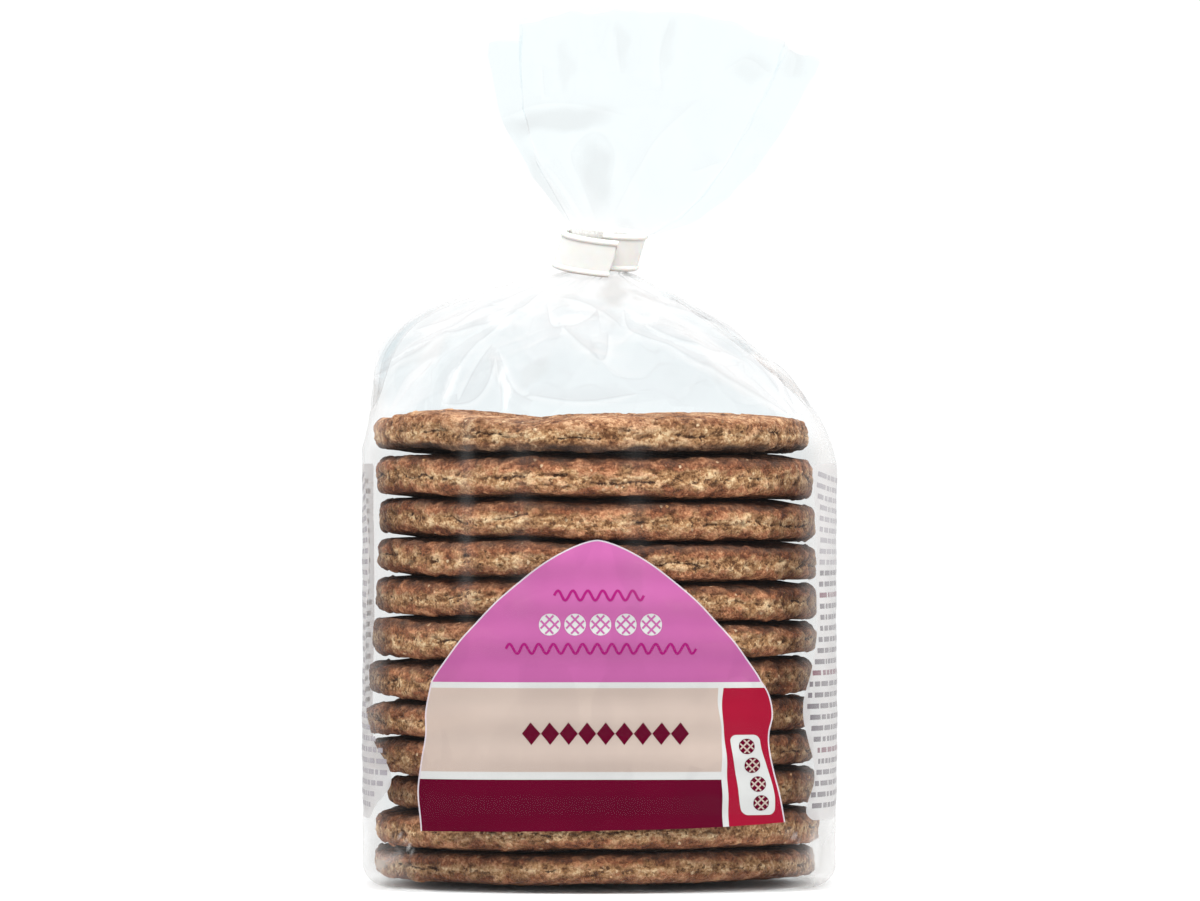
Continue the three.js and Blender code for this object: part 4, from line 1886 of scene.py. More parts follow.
    def _haze_and_sheen(self, points: Array, gather: Array) -> Array:
        """Gives how cloudy the lower film is: haze from its folds and foot corners, painted sheen along its
        ends, painted reflections and painted highlights.

        Args:
            points: Rings of film.
            gather: How tightly the film is gathered at each point.

        Returns:
            How cloudy each point is.
        """
        x, y, height = np.moveaxis(points, -1, 0)
        creased = self.crease_veil * smeared(points, SHOULDER_SMEARS)
        # Painted sheen along the film's ends.
        ends = self.end_glare * smoothstep(43, 48, np.abs(x)) + self.right_end_glare * smoothstep(40, 47, x)
        ends = ends * smoothstep(104, 92, height)
        foot = self.foot_veil * smoothstep(14, 2, height) * self._foot(points)
        # Painted reflections on the front film over the stack.
        reflection_streaks = sum(haze_and_sheen * np.exp(-((x - place) / width) ** 2) for place, width, haze_and_sheen in self.reflection_streaks)
        reflection_streaks = reflection_streaks * (y < 0) * smoothstep(104, 96, height) * smoothstep(52, 62, height)
        glints = self.glint_veil * smeared(points, GLINTS)
        return self.gather_veil * gather + creased + ends + foot + reflection_streaks + glints

    def _bag(self, material: Material) -> Piece:
        """Makes the lower film, with its flat base.

        Args:
            material: The film's finish.

        Returns:
            The lower film.
        """
        lower, gather = self._lower_rings()
        lower, marks = self._creased(lower, SHOULDER_CREASES, 1.0)
        lower[0, :, 2] = 0.0
        marks["gather"] = gather
        marks["tint"] = self._tint(lower)
        marks["haze_and_sheen"] = self._haze_and_sheen(lower, gather)
        marks["facet"] = np.full_like(gather, self.facets[0])
        marks["sheen"] = 1 - 0.85 * gather
        marks["grey_patch"] = self._grey_patches(lower)
        base = self._base_rings(lower[0])
        sheet = SheetMesh("film_bag", np.concatenate([base, lower]), closed=True)
        sheet.cap(0, base[0].mean(axis=0))
        flat = {name: np.full(base.shape[:2], 5.0 if name == "fold" else 0.0) for name in marks}
        return sheet.build(material, **{name: np.concatenate([flat[name], marks[name]]) for name in marks})

    def _fan(self, material: Material) -> Piece:
        """Makes the film above the strip.

        Args:
            material: The film's finish.

        Returns:
            The fan.
        """
        points, gather = self._fan_rings()
        points, marks = self._creased(points, FAN_CREASES, self.fan_crisp)
        smears = smeared(points, FAN_SMEARS)
        marks["gather"] = gather
        marks["tint"] = self.fan_tint * smears
        marks["haze_and_sheen"] = 0.02 * gather + 0.6 * gather ** 8 * smoothstep(136, 137.4, points[..., 2])
        marks["facet"] = np.full_like(gather, self.facets[1])
        marks["sheen"] = np.full_like(gather, self.fan_sheen)
        marks["grey_patch"] = self.fan_grey * smears
        return SheetMesh("film_fan", points, closed=True).build(material, **marks)

    def build(self) -> list[Piece]:
        """Makes the lower film and the fan.

        Returns:
            Both pieces.
        """
        material = self.finish.material()
        pieces = [self._bag(material), self._fan(material)]
        for piece in pieces:
            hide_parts("bag")
        return pieces


FILM_GRAIN = Grain(37)


# ---- print


class Ink(Enum):
    """The inks on the bag."""

    # The pink is painted lighter towards the top of the gable.
    PINK = InkFinish("ink_pink", srgb(173, 88, 142), 0.94, glow=0.26)
    BEIGE = InkFinish("ink_beige", srgb(191, 170, 159), 0.91)
    BURGUNDY = InkFinish("ink_burgundy", srgb(88, 0, 31), 1.0)
    RED = InkFinish("ink_red", srgb(150, 17, 45), 1.0)
    WHITE = InkFinish("ink_white", srgb(201, 197, 194), 0.96)
    PANEL = InkFinish("ink_panel", srgb(230, 227, 227), 0.85, 0.42)
    THIN_WHITE = InkFinish("ink_thin_white", srgb(228, 214, 222), 0.7)
    MAGENTA = InkFinish("ink_magenta", srgb(158, 28, 108), 0.95)
    GREY = InkFinish("ink_grey", srgb(96, 86, 93), 0.92)
    PALE_GREY = InkFinish("ink_pale_grey", srgb(158, 150, 155), 0.9)
    PLUM = InkFinish("ink_plum", srgb(100, 26, 56), 0.94)


class PrintShop:
    """Lays ink on the film and keeps one material for each ink."""

    def __init__(self, form: BagForm) -> None:
        """Takes the film that is printed on.

        Args:
            form: The bag's form.
        """
        self.form = form
        self.made: dict[Ink, Material] = {}
        self.pieces: list[Piece] = []

    def lay(self, name: str, ink: Ink, points: Array) -> None:
        """Adds a patch of ink over a grid of points.

        Args:
            name: The patch's name.
            ink: Its ink.
            points: Rows of points on the film.
        """
        if ink not in self.made:
            self.made[ink] = ink.value.material()
        piece = SheetMesh(name, points, closed=False).build(self.made[ink])
        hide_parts("bag")
        self.pieces.append(piece)

    def patches(self, name: str, ink: Ink, grids: Sequence[Array]) -> None:
        """Adds several patches of one ink as one piece.

        Args:
            name: The piece's name.
            ink: Its ink.
            grids: Rows of points on the film, for each patch.
        """
        self.lay(name, ink, grids[0])
        piece = self.pieces.pop()
        joined = [piece]
        for number, grid in enumerate(grids[1:]):
            self.lay(f"{name}_{number}", ink, grid)
            joined.append(self.pieces.pop())
        with bpy.context.temp_override(active_object=piece, selected_editable_objects=joined):
            bpy.ops.object.join()
        self.pieces.append(piece)


Outline = tuple[Array, Array]


def stroke(start: Sequence[float], end: Sequence[float], width: float, round_ends: bool = True) -> Outline:
    """Draws a flat bar.

    Args:
        start: Where its middle line starts, across and up.
        end: Where its middle line ends.
        width: How wide it is.
        round_ends: Whether half discs are added at its ends.

    Returns:
        Two grids: distances across and heights.
    """
    first, last = np.array(start, float), np.array(end, float)
    length = max(float(np.linalg.norm(last - first)), 1e-6)
    along = (last - first) / length
    sideways = np.array([-along[1], along[0]])
    half = width / 2
    places = np.linspace(0, length, max(2, int(length / 1.2) + 1))
    reach = np.full_like(places, half)
    if round_ends:
        turn = np.linspace(0, np.pi / 2, 9)[1:]
        places = np.concatenate([-half * np.sin(turn[::-1]), places, length + half * np.sin(turn)])
        reach = np.concatenate([half * np.cos(turn[::-1]), reach, half * np.cos(turn)])
    rows = np.linspace(-1, 1, 7)[:, None]
    across = first[0] + places * along[0] + rows * reach * sideways[0]
    up = first[1] + places * along[1] + rows * reach * sideways[1]
    return across, up


def disc(middle: Sequence[float], width: float) -> Outline:
    """Draws a flat disc."""
    return stroke(middle, (middle[0] + 1e-3, middle[1]), width)


def diamond(middle: Sequence[float], half_width: float, half_height: float) -> Outline:
    """Draws a flat diamond as rows that shrink to its tips.

    Args:
        middle: Its middle, across and up.
        half_width: Half its width.
        half_height: Half its height.

    Returns:
        Two grids: distances across and heights.
    """
    rows = np.linspace(-1, 1, 7)[:, None]
    columns = np.linspace(-1, 1, 5)[None]
    reach = np.maximum(1 - np.abs(rows), 0.02)
    return middle[0] + columns * reach * half_width, middle[1] + rows * half_height + 0 * columns


def ribbon(line: Array, inner: float, outer: float) -> Outline:
    """Draws a band beside a line.

    Args:
        line: Points across and up, as rows of 2.
        inner: Where the band starts, to the left of someone who walks along the line.
        outer: Where it ends.

    Returns:
        Two grids: distances across and heights.
    """
    step = np.gradient(line, axis=0)
    side = np.stack([-step[:, 1], step[:, 0]], axis=-1)
    side /= np.maximum(np.linalg.norm(side, axis=1, keepdims=True), 1e-9)
    grid = np.stack([line + side * inner, line + side * outer])
    return grid[..., 0], grid[..., 1]


def wave(start: float, end: float, height: float, swing: float, period: float, width: float) -> Outline:
    """Draws a wavy line of even width from start to end across.

    Args:
        start: Where it starts across.
        end: Where it ends across.
        height: Height of its middle.
        swing: How far it swings up and down.
        period: Length of one wave.
        width: How wide the line is.

    Returns:
        Two grids: distances across and heights.
    """
    steps = int((end - start) / period * 16)
    across = np.linspace(start, end, steps)
    line = np.stack([across, height + swing * np.sin((across - start) * 2 * np.pi / period)], axis=-1)
    return ribbon(line, -width / 2, width / 2)


def corner_inset(distance: Array, radius: float) -> Array:
    """Gives how far a rounded corner draws an edge in, at a distance from the shape's end."""
    return radius * (1 - np.sqrt(1 - np.clip(1 - distance / radius, 0, 1) ** 2))


Edge = Callable[[Array], Array]


def level(height: float) -> Edge:
    """Gives an edge that stays at one length."""
    return lambda where: np.full_like(where, height)


@dataclass
class FrontPrint:
    """The printed front: a gable over a pale band, a dark foot and a red side field."""

    form: BagForm
    field_inside: float = 0.16
    motif_inside: float = 0.11
    mark_inside: float = 0.07
    gable_base: float = 43.6
    gable_rise: float = 29.1
    gable_middle: float = -0.5
    gable_left: float = 34.1
    gable_right: float = 33.8
    gable_round: float = 1.5
    gable_bulge: float = 0.88
    upper_line: float = 42.4
    lower_line: Pair = (23.5, 25.1)
    outline: float = 0.3
    left_edge: Edge = Curve(
        (
            (43.6, -34.6), (42.4, -34.9), (38.1, -35.8), (32.7, -35.9),
            (27.5, -36.7), (22.8, -37.4), (12, -36.9),
        )
    )
    right_edge: Edge = Curve(
        (
            (43.6, 33.3), (42.2, 34.3), (38.2, 35.6), (36.3, 35.6), (33.6, 35.0),
            (30.9, 34.9), (28.3, 35.2), (24.9, 36.0), (20.6, 37.1), (13, 38.7),
        )
    )
    divide_left: Edge = Curve(((43, 24.6), (38.5, 24.7), (33.5, 25.4), (24.9, 25.4), (12, 25.7)))
    divide_right: Edge = Curve(
        ((43, 25.7), (37, 25.5), (31.7, 26.1), (28.4, 26.4), (21.3, 26.7), (12, 27.0))
    )
    bottom_edge: Edge = Curve(((-38, 12.7), (0, 13.0), (25, 13.7), (39, 14.5)))
    tag_left: Edge = Curve(((32.7, 27.1), (28, 27.7), (23.2, 28.6), (18.7, 29.1), (16.1, 29.7)))
    tag_right: Edge = Curve(
        ((32.7, 33.1), (29.4, 33.6), (26.3, 34.6), (23.2, 35.6), (19.9, 36.3), (16.1, 36.4))
    )
    tag_ends: Pair = (16.1, 32.7)
    tag_corner: float = 1.3
    tag_disc_heights: tuple[float, ...] = (30.3, 26.4, 22.5, 18.6)
    tag_disc_inset: float = 2.9
    tag_disc_width: float = 3.2
    tag_disc_line: float = 0.3
    upper_wave: Triple = (-9.4, 9.2, 61.5)
    lower_wave: Triple = (-19.4, 20.0, 50.5)
    wave_periods: Pair = (3.1, 3.03)
    wave_swing: float = 1.0
    wave_width: float = 0.55
    disc_row: Triple = (-10.4, 10.8, 55.5)
    disc_count: int = 5
    disc_width: float = 4.5
    disc_line: float = 0.42
    diamond_row: Triple = (-14.2, 16.8, 33.0)
    diamond_count: int = 9
    diamond_reach: Pair = (1.9, 2.3)

    def __post_init__(self) -> None:
        """Starts with nothing printed."""
        self.shop = PrintShop(self.form)

    def roof(self, across: Array) -> Array:
        """Gives the height of the gable's outline above its base.

        Args:
            across: Distance to the right of the middle.

        Returns:
            The height at each.
        """
        away = across - self.gable_middle
        share = np.where(away < 0, -away / self.gable_left, away / self.gable_right)
        return self.gable_rise * (1 - np.clip(share, 0, 1) ** self.gable_round) ** self.gable_bulge

    def _between(self, low: Edge, high: Edge, left: Edge, right: Edge, columns: int, rows: int) -> Outline:
        """Fills the space between four edges.

        Args:
            low: The lower edge's height by distance across.
            high: The upper edge's height by distance across.
            left: The left edge's distance across by height.
            right: The right edge's distance across by height.
            columns: Points across.
            rows: Points up.

        Returns:
            Two grids: distances across and heights.
        """
        share = np.linspace(0, 1, columns)[None]
        climb = crowded(rows)[:, None]
        across = np.zeros((rows, columns))
        for _ in range(4):
            heights = lerp(low(across), high(across), climb)
            across = lerp(left(heights), right(heights), share)
        return across, heights

    def _lay(self, name: str, ink: Ink, outlines: Sequence[Outline], inside: float) -> None:
        """Prints outlines of one ink at one distance inside the film."""
        grids = [self.form.on_front(across, heights, inside) for across, heights in outlines]
        self.shop.patches(name, ink, grids)

    def _gable(self) -> Outline:
        """Draws the gable in columns that crowd towards its lower corners.

        Returns:
            Places across, and heights.
        """
        share = crowded(110)[None]
        across = lerp(-self.gable_left, self.gable_right, share) + np.zeros((30, 1))
        climb = np.linspace(0, 1, 30)[:, None]
        return across + self.gable_middle, self.gable_base + climb * self.roof(across + self.gable_middle)

    def _fields(self) -> None:
        """Prints the coloured fields and the white lines between them."""
        low, high = (level(height) for height in self.lower_line)
        upper, base = level(self.upper_line), level(self.gable_base)
        deep = self.field_inside
        band = self._between(high, upper, self.left_edge, self.divide_left, 70, 20)
        foot = self._between(self.bottom_edge, low, self.left_edge, self.divide_left, 70, 14)
        side = self._between(self.bottom_edge, upper, self.divide_right, self.right_edge, 16, 48)
        lines = (
            self._between(upper, base, self.left_edge, self.right_edge, 90, 3),
            self._between(low, high, self.left_edge, self.divide_left, 70, 3),
            self._between(self.bottom_edge, upper, self.divide_left, self.divide_right, 3, 48),
        )
        self._lay("print_gable", Ink.PINK, (self._gable(),), deep)
        self._lay("print_band", Ink.BEIGE, (band,), deep)
        self._lay("print_foot", Ink.BURGUNDY, (foot,), deep)
        self._lay("print_side_field", Ink.RED, (side,), deep)
        self._lay("print_lines", Ink.WHITE, lines, deep)

    def _outline(self) -> None:
        """Prints the thin white line round the roof and down both sides."""
        share = crowded(160)
        x = lerp(-self.gable_left, self.gable_right, share) + self.gable_middle
        roof = np.stack([x, self.gable_base + self.roof(x)], axis=-1)
        left_heights = np.linspace(self.bottom_edge(np.array(-37.0)), self.gable_base, 70)
        left = np.stack([self.left_edge(left_heights), left_heights], axis=-1)
        right_heights = np.linspace(self.gable_base, self.bottom_edge(np.array(38.0)), 70)
        right = np.stack([self.right_edge(right_heights), right_heights], axis=-1)
        bands = [ribbon(line, 0, self.outline) for line in (left, roof, right)]
        self._lay("print_outline", Ink.THIN_WHITE, bands, self.field_inside)

    def _ornaments(self) -> None:
        """Prints plain waves, waffle discs and diamonds on the gable and the band."""
        waves = [
            wave(*ends, self.wave_swing, period, self.wave_width)
            for ends, period in zip((self.upper_wave, self.lower_wave), self.wave_periods)
        ]
        self._lay("print_waves", Ink.MAGENTA, waves, self.motif_inside)
        start, end, height = self.disc_row
        places = [(x, height) for x in np.linspace(start, end, self.disc_count)]
        discs = [disc(place, self.disc_width) for place in places]
        self._lay("print_discs", Ink.WHITE, discs, self.motif_inside)
        grids = self._grids(places, self.disc_width, self.disc_line)
        self._lay("print_disc_grids", Ink.PINK, grids, self.mark_inside)
        start, end, height = self.diamond_row
        row = np.linspace(start, end, self.diamond_count)
        diamonds = [diamond((x, height), *self.diamond_reach) for x in row]
        self._lay("print_diamonds", Ink.BURGUNDY, diamonds, self.motif_inside)

    @staticmethod
    def _grids(places: Sequence[Sequence[float]], width: float, line: float) -> list[Outline]:
        """Draws two crossed pairs of lines over each disc.

        Args:
            places: Middles of the discs, across and up.
            width: How wide the discs are.
            line: How wide the lines are.

        Returns:
            An outline for each line.
        """
        outlines = []
        for x, z in places:
            for offset in (-width / 6, width / 6):
                reach = math.sqrt((width / 2) ** 2 - offset ** 2) * 0.9
                for turn in (math.pi / 4, -math.pi / 4):
                    cosine, sine = math.cos(turn), math.sin(turn)
                    start = (x - reach * cosine - offset * sine, z - reach * sine + offset * cosine)
                    end = (x + reach * cosine - offset * sine, z + reach * sine + offset * cosine)
                    outlines.append(stroke(start, end, line, round_ends=False))
        return outlines

    def _tag(self) -> None:
        """Prints a leaning white tag with a plain column of waffle discs on the red field."""
        low, high = self.tag_ends

        def rounded(heights: Array) -> Array:
            """Gives how far the tag's round corners draw its edges in."""
            return corner_inset(np.minimum(heights - low, high - heights), self.tag_corner)

        tag = self._between(
            level(low),
            level(high),
            lambda heights: self.tag_left(heights) + rounded(heights),
            lambda heights: self.tag_right(heights) - rounded(heights),
            9,
            40,
        )
        self._lay("print_tag", Ink.WHITE, (tag,), self.motif_inside)
        places = [
            (float(self.tag_right(np.array(z))) - self.tag_disc_inset, z) for z in self.tag_disc_heights
        ]
        marks = [disc(place, self.tag_disc_width) for place in places]
        self._lay("print_tag_marks", Ink.BURGUNDY, marks, self.mark_inside)
        grids = self._grids(places, self.tag_disc_width, self.tag_disc_line)
        self._lay("print_tag_grids", Ink.BEIGE, grids, self.mark_inside - 0.03)

    def build(self) -> list[Piece]:
        """Prints the front.

        Returns:
            The printed pieces.
        """
        self._fields()
        self._outline()
        self._ornaments()
        self._tag()
        return self.shop.pieces


class Side(Enum):
    """A side of the bag, as the sign of its distance to the right."""

    RIGHT = 1
    LEFT = -1


@dataclass
class SidePanel:
    """The white panel on one side of the bag, with rows of plain short bars."""

    form: BagForm
    side: Side
    seed: int
    top: float = 88.6
    bottom: float = 14.6
    inside: float = 0.16
    corner: float = 1.8
    row_pitch: float = 2.3
    bar_height: float = 1.05
    pale_above: float = 66.0
    plum_every: int = 7
    slant: float = 0.22
    slant_reach: float = 8.0
    slant_heights: Pair = (60, 88)
    back_line: float = 24.0
    back_wave: float = 0.6
    bars_end: float = 18.0
    bar_margin: Pair = (0.7, 1.6)
    bar_lengths: Pair = (0.9, 4.6)
    bar_gaps: Pair = (0.5, 0.9)
    front_line: Curve = Curve(
        (
            (88.6, 44.1), (83.2, 44.6), (68.7, 45.6), (60.3, 45.4), (52, 45.2), (45.6, 44.1), (38.9, 42.5),
            (36.2, 42.5), (31.7, 43.5), (25.9, 44.8), (22.5, 44.8), (18.6, 43.5), (16.5, 43.1), (14.6, 43.7),
        )
    )
    left_depth: Curve = Curve(
        (
            (88.6, -20), (70, -24), (52, -21), (38, -22), (31, -29),
            (26.5, -34.5), (21, -35), (17, -29), (14.6, -26),
        )
    )

    def __post_init__(self) -> None:
        """Starts with nothing printed."""
        self.shop = PrintShop(self.form)

    def front_edge(self, heights: Array) -> Array:
        """Gives how far back the panel's front edge is, which waves with the film.

        Args:
            heights: Heights above the base.

        Returns:
            Distances behind the bag's middle.
        """
        if self.side is Side.LEFT:
            return self.left_depth(heights)
        power = self.form.squareness
        share = self.front_line(heights) / self.form.half_width
        return -self.form.half_depth * (1 - share ** power) ** (1 / power)

    def build(self) -> list[Piece]:
        """Prints the panel and its bars.

        Returns:
            The printed pieces.
        """
        climb = crowded(110)[:, None]
        heights = lerp(self.bottom, self.top, climb)
        rounding = corner_inset(np.minimum(heights - self.bottom, self.top - heights), self.corner)
        back_edge = self.back_line + self.back_wave * np.sin(heights / 7)
        share = np.linspace(0, 1, 60)[None]
        back = lerp(self.front_edge(heights) + rounding, back_edge - rounding, share)
        grid = self.form.on_side(back, heights + 0 * share, self.inside, self.side.value)
        name = self.side.name.lower()
        self.shop.patches(f"panel_{name}", Ink.PANEL, (grid,))
        for ink, grids in self._bars().items():
            self.shop.patches(f"panel_{name}_{ink.name.lower()}_bars", ink, grids)
        return self.shop.pieces

    def _bar_ink(self, row: int, height: float) -> Ink:
        """Picks a row's ink: paler near the top and all over the left side, plum for a few rows.

        Args:
            row: The row's number.
            height: The row's height.

        Returns:
            The ink.
        """
        if self.side is Side.LEFT or height > self.pale_above:
            return Ink.PALE_GREY
        return Ink.PLUM if row % self.plum_every == self.plum_every - 2 else Ink.GREY

    def _run(self, distance: float) -> float:
        """Gives the part of a distance along a row over which the row slants."""
        return self.slant_reach * (1 - float(np.exp(-distance / self.slant_reach)))

    def _bars(self) -> dict[Ink, list[Array]]:
        """Lays rows of short bars that slant near the top of the panel.

        Returns:
            Grids of points on the film for each ink.
        """
        draw = np.random.default_rng(self.seed)
        grids: dict[Ink, list[Array]] = {}
        for row, height in enumerate(np.arange(self.bottom + 1, self.top - 3, self.row_pitch)):
            slant = self.slant * float(smoothstep(*self.slant_heights, np.array(height)))
            place = float(self.front_edge(np.array(height))) + draw.uniform(*self.bar_margin)
            origin = place
            while place < self.bars_end:
                end = place + draw.uniform(*self.bar_lengths)
                ends = [(p, height + 2 - slant * self._run(p - origin)) for p in (place, end)]
                across, heights = stroke(*ends, self.bar_height, round_ends=False)
                grid = self.form.on_side(across, heights, self.inside - 0.05, self.side.value)
                grids.setdefault(self._bar_ink(row, height), []).append(grid)
                place = end + draw.uniform(*self.bar_gaps)
        return grids


# ---- closing strip


@dataclass
class ClosingStrip:
    """The strip round the neck: a thin web between two wire beads, lapped in front."""

    form: BagForm
    finish: StripFinish = StripFinish()
    height: float = 8.0
    web: float = 0.5
    bead: float = 0.62
    half_width: float = 7.7
    half_depth: float = 4.2
    spiral: float = 1.8
    start: float = math.radians(-96)
    turn: float = math.radians(381)
    climb: float = 1.2
    side_slant: float = 0.2
    steps: int = 260
    arc_steps: int = 12
    bead_shade_width: float = 0.22
    bead_shades: Pair = (0.5, 0.1)

    def _section(self) -> tuple[Array, Array]:
        """Draws the section as pairs of distance out and height, counterclockwise.

        Returns:
            The pairs, and how much painted shade each point gets beside a bead or under the lower bead.
        """
        meets = math.asin(self.web / 2 / self.bead)
        centre = self.height / 2 - self.bead
        arc = np.linspace(-np.pi / 2 + meets, 3 * np.pi / 2 - meets, self.arc_steps * 2)
        upper = np.stack([self.bead * np.cos(arc), centre + self.bead * np.sin(arc)], axis=-1)
        down = np.array([centre - self.bead - rest for rest in (0.1, 0.45, 2.4)])
        levels = np.concatenate([down, -down[::-1]])
        inner = np.stack([np.full_like(levels, -self.web / 2), levels], axis=-1)
        half = np.concatenate([upper, inner])
        points = np.concatenate([half, -half])
        # Painted shade beside each bead, stronger by the upper one, and under the lower bead.
        beside = np.exp(-((np.abs(points[:, 1]) - (centre - self.bead)) / self.bead_shade_width) ** 2)
        beside *= np.where(points[:, 1] > 0, *self.bead_shades)
        under = smoothstep(-centre - 0.35 * self.bead, -centre - 0.9 * self.bead, points[:, 1])
        return points, np.clip(beside + under, 0, 1)

    def build(self) -> list[Piece]:
        """Makes the strip.

        Returns:
            The strip.
        """
        section, bead_shade = self._section()
        share = np.linspace(0, 1, self.steps)
        angle = self.start + share * self.turn
        grown = share * self.spiral
        path = np.stack(
            [(self.half_width + grown) * np.cos(angle), (self.half_depth + grown) * np.sin(angle)], axis=-1
        )
        along = np.gradient(path, axis=0)
        along /= np.linalg.norm(along, axis=1, keepdims=True)
        outward = np.stack([along[:, 1], -along[:, 0]], axis=-1)
        height = np.broadcast_to(section[None, :, 1], (self.steps, len(section)))
        flat = path[:, None] + outward[:, None] * section[None, :, :1]
        flat[..., 0] += height * self.side_slant
        raised = height + self.climb * (0.85 - share)[:, None]
        placed = self._tilted(np.concatenate([flat, raised[..., None]], axis=-1))
        sheet = SheetMesh("closing_strip_wired", placed[:, ::-1], closed=True)
        sheet.cap(0, placed[0].mean(axis=0))
        sheet.cap(-1, placed[-1].mean(axis=0))
        bead_shades = np.broadcast_to(bead_shade[::-1], placed.shape[:2]).copy()
        strip = sheet.build(self.finish.material(), bead_shade=bead_shades)
        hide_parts("closing_strip")
        return [strip]

    def _tilted(self, points: Array) -> Array:
        """Leans the strip with the neck and moves it there.

        Args:
            points: Points of an upright strip round the middle.

        Returns:
            The points round the neck.
        """
        lean, tip = self.form.neck_lean, self.form.neck_tip
        about_y = np.array(
            [[math.cos(lean), 0, math.sin(lean)], [0, 1, 0], [-math.sin(lean), 0, math.cos(lean)]]
        )
        about_x = np.array(
            [[1, 0, 0], [0, math.cos(tip), -math.sin(tip)], [0, math.sin(tip), math.cos(tip)]]
        )
        across, back = self.form.neck_centre(self.form.neck_middle)
        return points @ (about_x @ about_y).T + np.array([across, back, self.form.neck_middle])


# ---- studio


@dataclass(frozen=True)
class SoftBox:
    """A soft light: where it stands, how large and strong it is, and whether film mirrors it."""

    name: str
    place: Triple
    size: float
    power: float
    mirrored: bool


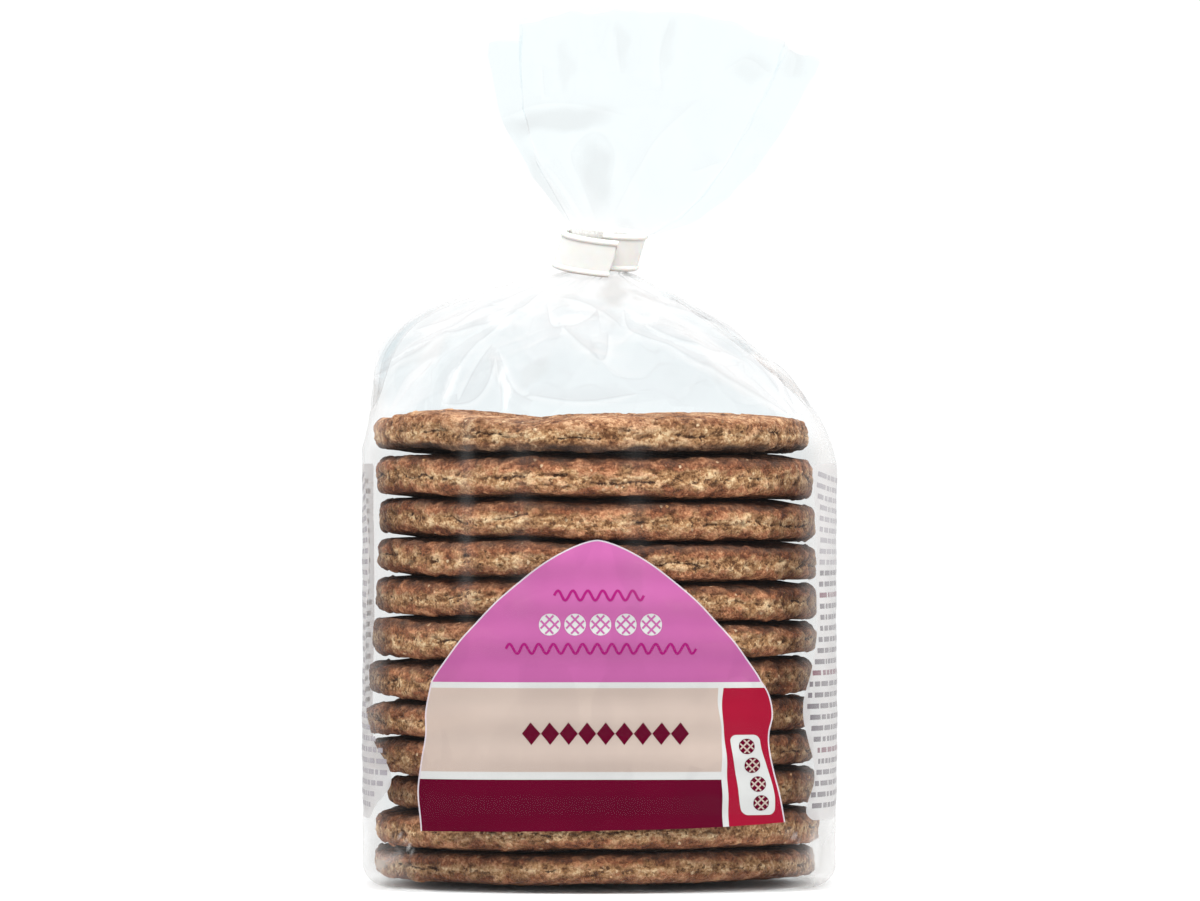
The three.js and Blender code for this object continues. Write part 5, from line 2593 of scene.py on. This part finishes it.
@dataclass
class Studio:
    """A level camera, soft lights and a pale floor that fades into a white room."""

    distance: float = 1.9
    eye_height: float = 0.0914
    frame_width: float = 0.2537
    sensor: float = 36.0
    aim_height: float = 0.09
    floor_radius: float = 1.2
    floor_glow: float = 0.8
    shade_reach: Pair = (0.045, 0.051)
    front_glow: float = 0.2
    back_glow: float = 0.95
    under_glow: float = 0.35
    back_reach: Pair = (-0.85, 0.0)
    above_reach: Pair = (-0.25, 0.1)
    room_colour: Colour = (0.95, 0.98, 1.0)
    seen_glow: float = 1.06
    floor_fade: Pair = (0.25, 0.9)
    paper: Colour = (0.93, 0.93, 0.93)
    film_layers: int = 48
    boxes: tuple[SoftBox, ...] = (
        SoftBox("key", (-0.1, -0.8, 1.2), 0.7, 13.7, False),
        SoftBox("fill", (1.0, -0.75, 0.4), 0.7, 8.6, False),
        SoftBox("low", (-1.0, -0.75, 0.4), 0.7, 5.2, False),
        SoftBox("top", (0.0, 0.05, 1.15), 0.9, 7.0, True),
    )

    def camera(self) -> None:
        """Makes the camera, level with the middle of the bag."""
        lens = bpy.data.cameras.new("camera")
        lens.sensor_width = self.sensor
        lens.sensor_fit = "HORIZONTAL"
        lens.lens = self.sensor * self.distance / self.frame_width
        lens.clip_start, lens.clip_end = 0.05, 50
        made = bpy.data.objects.new("camera", lens)
        made.location = (0.0001, -self.distance, self.eye_height)
        made.rotation_euler = (math.pi / 2, 0, 0)
        bpy.context.scene.collection.objects.link(made)
        bpy.context.scene.camera = made

    def lights(self) -> None:
        """Hangs the soft boxes, out of the camera's sight."""
        for box in self.boxes:
            light = bpy.data.lights.new(box.name, "AREA")
            light.shape, light.size, light.energy = "SQUARE", box.size, box.power
            made = bpy.data.objects.new(box.name, light)
            made.location = box.place
            aim = np.array([0, 0, self.aim_height]) - np.array(box.place)
            yaw = math.atan2(aim[1], aim[0]) - math.pi / 2
            pitch = math.atan2(math.hypot(aim[0], aim[1]), -aim[2])
            made.rotation_euler = (pitch, 0, yaw)
            made.visible_camera = False
            made.visible_glossy = box.mirrored
            bpy.context.scene.collection.objects.link(made)

    def room(self) -> None:
        """Makes a room that is bright beside and behind the bag, and dark before it."""
        world = bpy.data.worlds.new("room")
        world.use_nodes = True
        tree = world.node_tree
        tree.nodes.clear()
        towards = add_node(tree, "ShaderNodeTexCoord").outputs["Generated"]
        axes = add_node(tree, "ShaderNodeSeparateXYZ", {0: towards}).outputs

        def glowing(axis: str, reach: Pair, low: float, high: float) -> Socket:
            """Goes from low to high as the direction along an axis crosses a reach."""
            spread = {"From Min": reach[0], "From Max": reach[1], "To Min": low, "To Max": high}
            return add_node(tree, "ShaderNodeMapRange", {"Value": axes[axis], **spread}).outputs[0]

        back = glowing("Y", self.back_reach, self.front_glow, self.back_glow)
        above = glowing("Z", self.above_reach, self.under_glow, 1.0)
        strength = add_node(tree, "ShaderNodeMath", {0: back, 1: above}, operation="MULTIPLY").outputs[0]
        lighting = {"Color": (*self.room_colour, 1), "Strength": strength}
        glow = add_node(tree, "ShaderNodeBackground", lighting).outputs[0]
        plain = {"Color": (1, 1, 1, 1), "Strength": self.seen_glow}
        seen = add_node(tree, "ShaderNodeBackground", plain).outputs[0]
        path = add_node(tree, "ShaderNodeLightPath").outputs["Is Camera Ray"]
        mixed = add_node(tree, "ShaderNodeMixShader", {0: path, 1: glow, 2: seen}).outputs[0]
        add_node(tree, "ShaderNodeOutputWorld", {0: mixed})
        bpy.context.scene.world = world

    def floor(self) -> None:
        """Lays a pale round floor whose rim fades away."""
        shader = Shader("floor")
        away = shader.node("ShaderNodeVectorMath", {0: shader.place}, operation="LENGTH").outputs["Value"]
        fade = shader.window(away, *self.floor_fade)
        paper = shader.node("ShaderNodeBsdfDiffuse", {"Color": (*self.paper, 1)}).outputs[0]
        glow = shader.node("ShaderNodeEmission", {"Color": (1, 1, 1, 1), "Strength": 1.0}).outputs[0]
        x, y, _ = shader.node("ShaderNodeSeparateXYZ", {0: shader.place}).outputs
        square = shader.maths("MAXIMUM", shader.maths("ABSOLUTE", x), shader.maths("ABSOLUTE", y))
        beyond = shader.maths("MULTIPLY", shader.window(square, *self.shade_reach), self.floor_glow)
        paper = shader.mix_shaders(beyond, paper, glow)
        clear = shader.node("ShaderNodeBsdfTransparent").outputs[0]
        material = shader.finish(shader.mix_shaders(fade, paper, clear))
        angles = np.linspace(0, 2 * np.pi, 96, endpoint=False)
        rim = [(self.floor_radius * math.cos(a), self.floor_radius * math.sin(a), -0.0002) for a in angles]
        floor = mesh_object("floor", rim, [tuple(range(len(rim)))], material)

    def picture(self) -> None:
        """Sets plain colour handling, and lets light pass through many folds of film."""
        scene = bpy.context.scene
        scene.view_settings.view_transform = "Standard"
        scene.view_settings.look = "None"
        scene.cycles.transparent_max_bounces = self.film_layers

    def build(self) -> None:
        """Sets up the whole studio, the camera first."""
        self.camera()
        self.picture()
        self.lights()
        self.room()
        self.floor()


def main() -> None:
    """Builds every sub-assembly, lets it ride on the bag, and reports each piece."""
    logging.basicConfig(level=logging.INFO, format="%(name)s: %(message)s")
    Studio().build()
    form = BagForm.from_frame(WaferStack.rims())
    assemblies = (
        WaferStack(),
        FilmBag(form),
        FrontPrint(form),
        SidePanel(form, Side.RIGHT, 5),
        SidePanel(form, Side.LEFT, 6),
        ClosingStrip(form),
    )
    total = 0
    for assembly in assemblies:
        for piece in assembly.build():
            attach(piece, BODY)
            piece.data.calc_loop_triangles()
            total += len(piece.data.loop_triangles)
            LOG.info("%s: %d triangles", piece.name, len(piece.data.loop_triangles))
    LOG.info("all pieces: %d triangles", total)


if __name__ == "__main__":
    main()
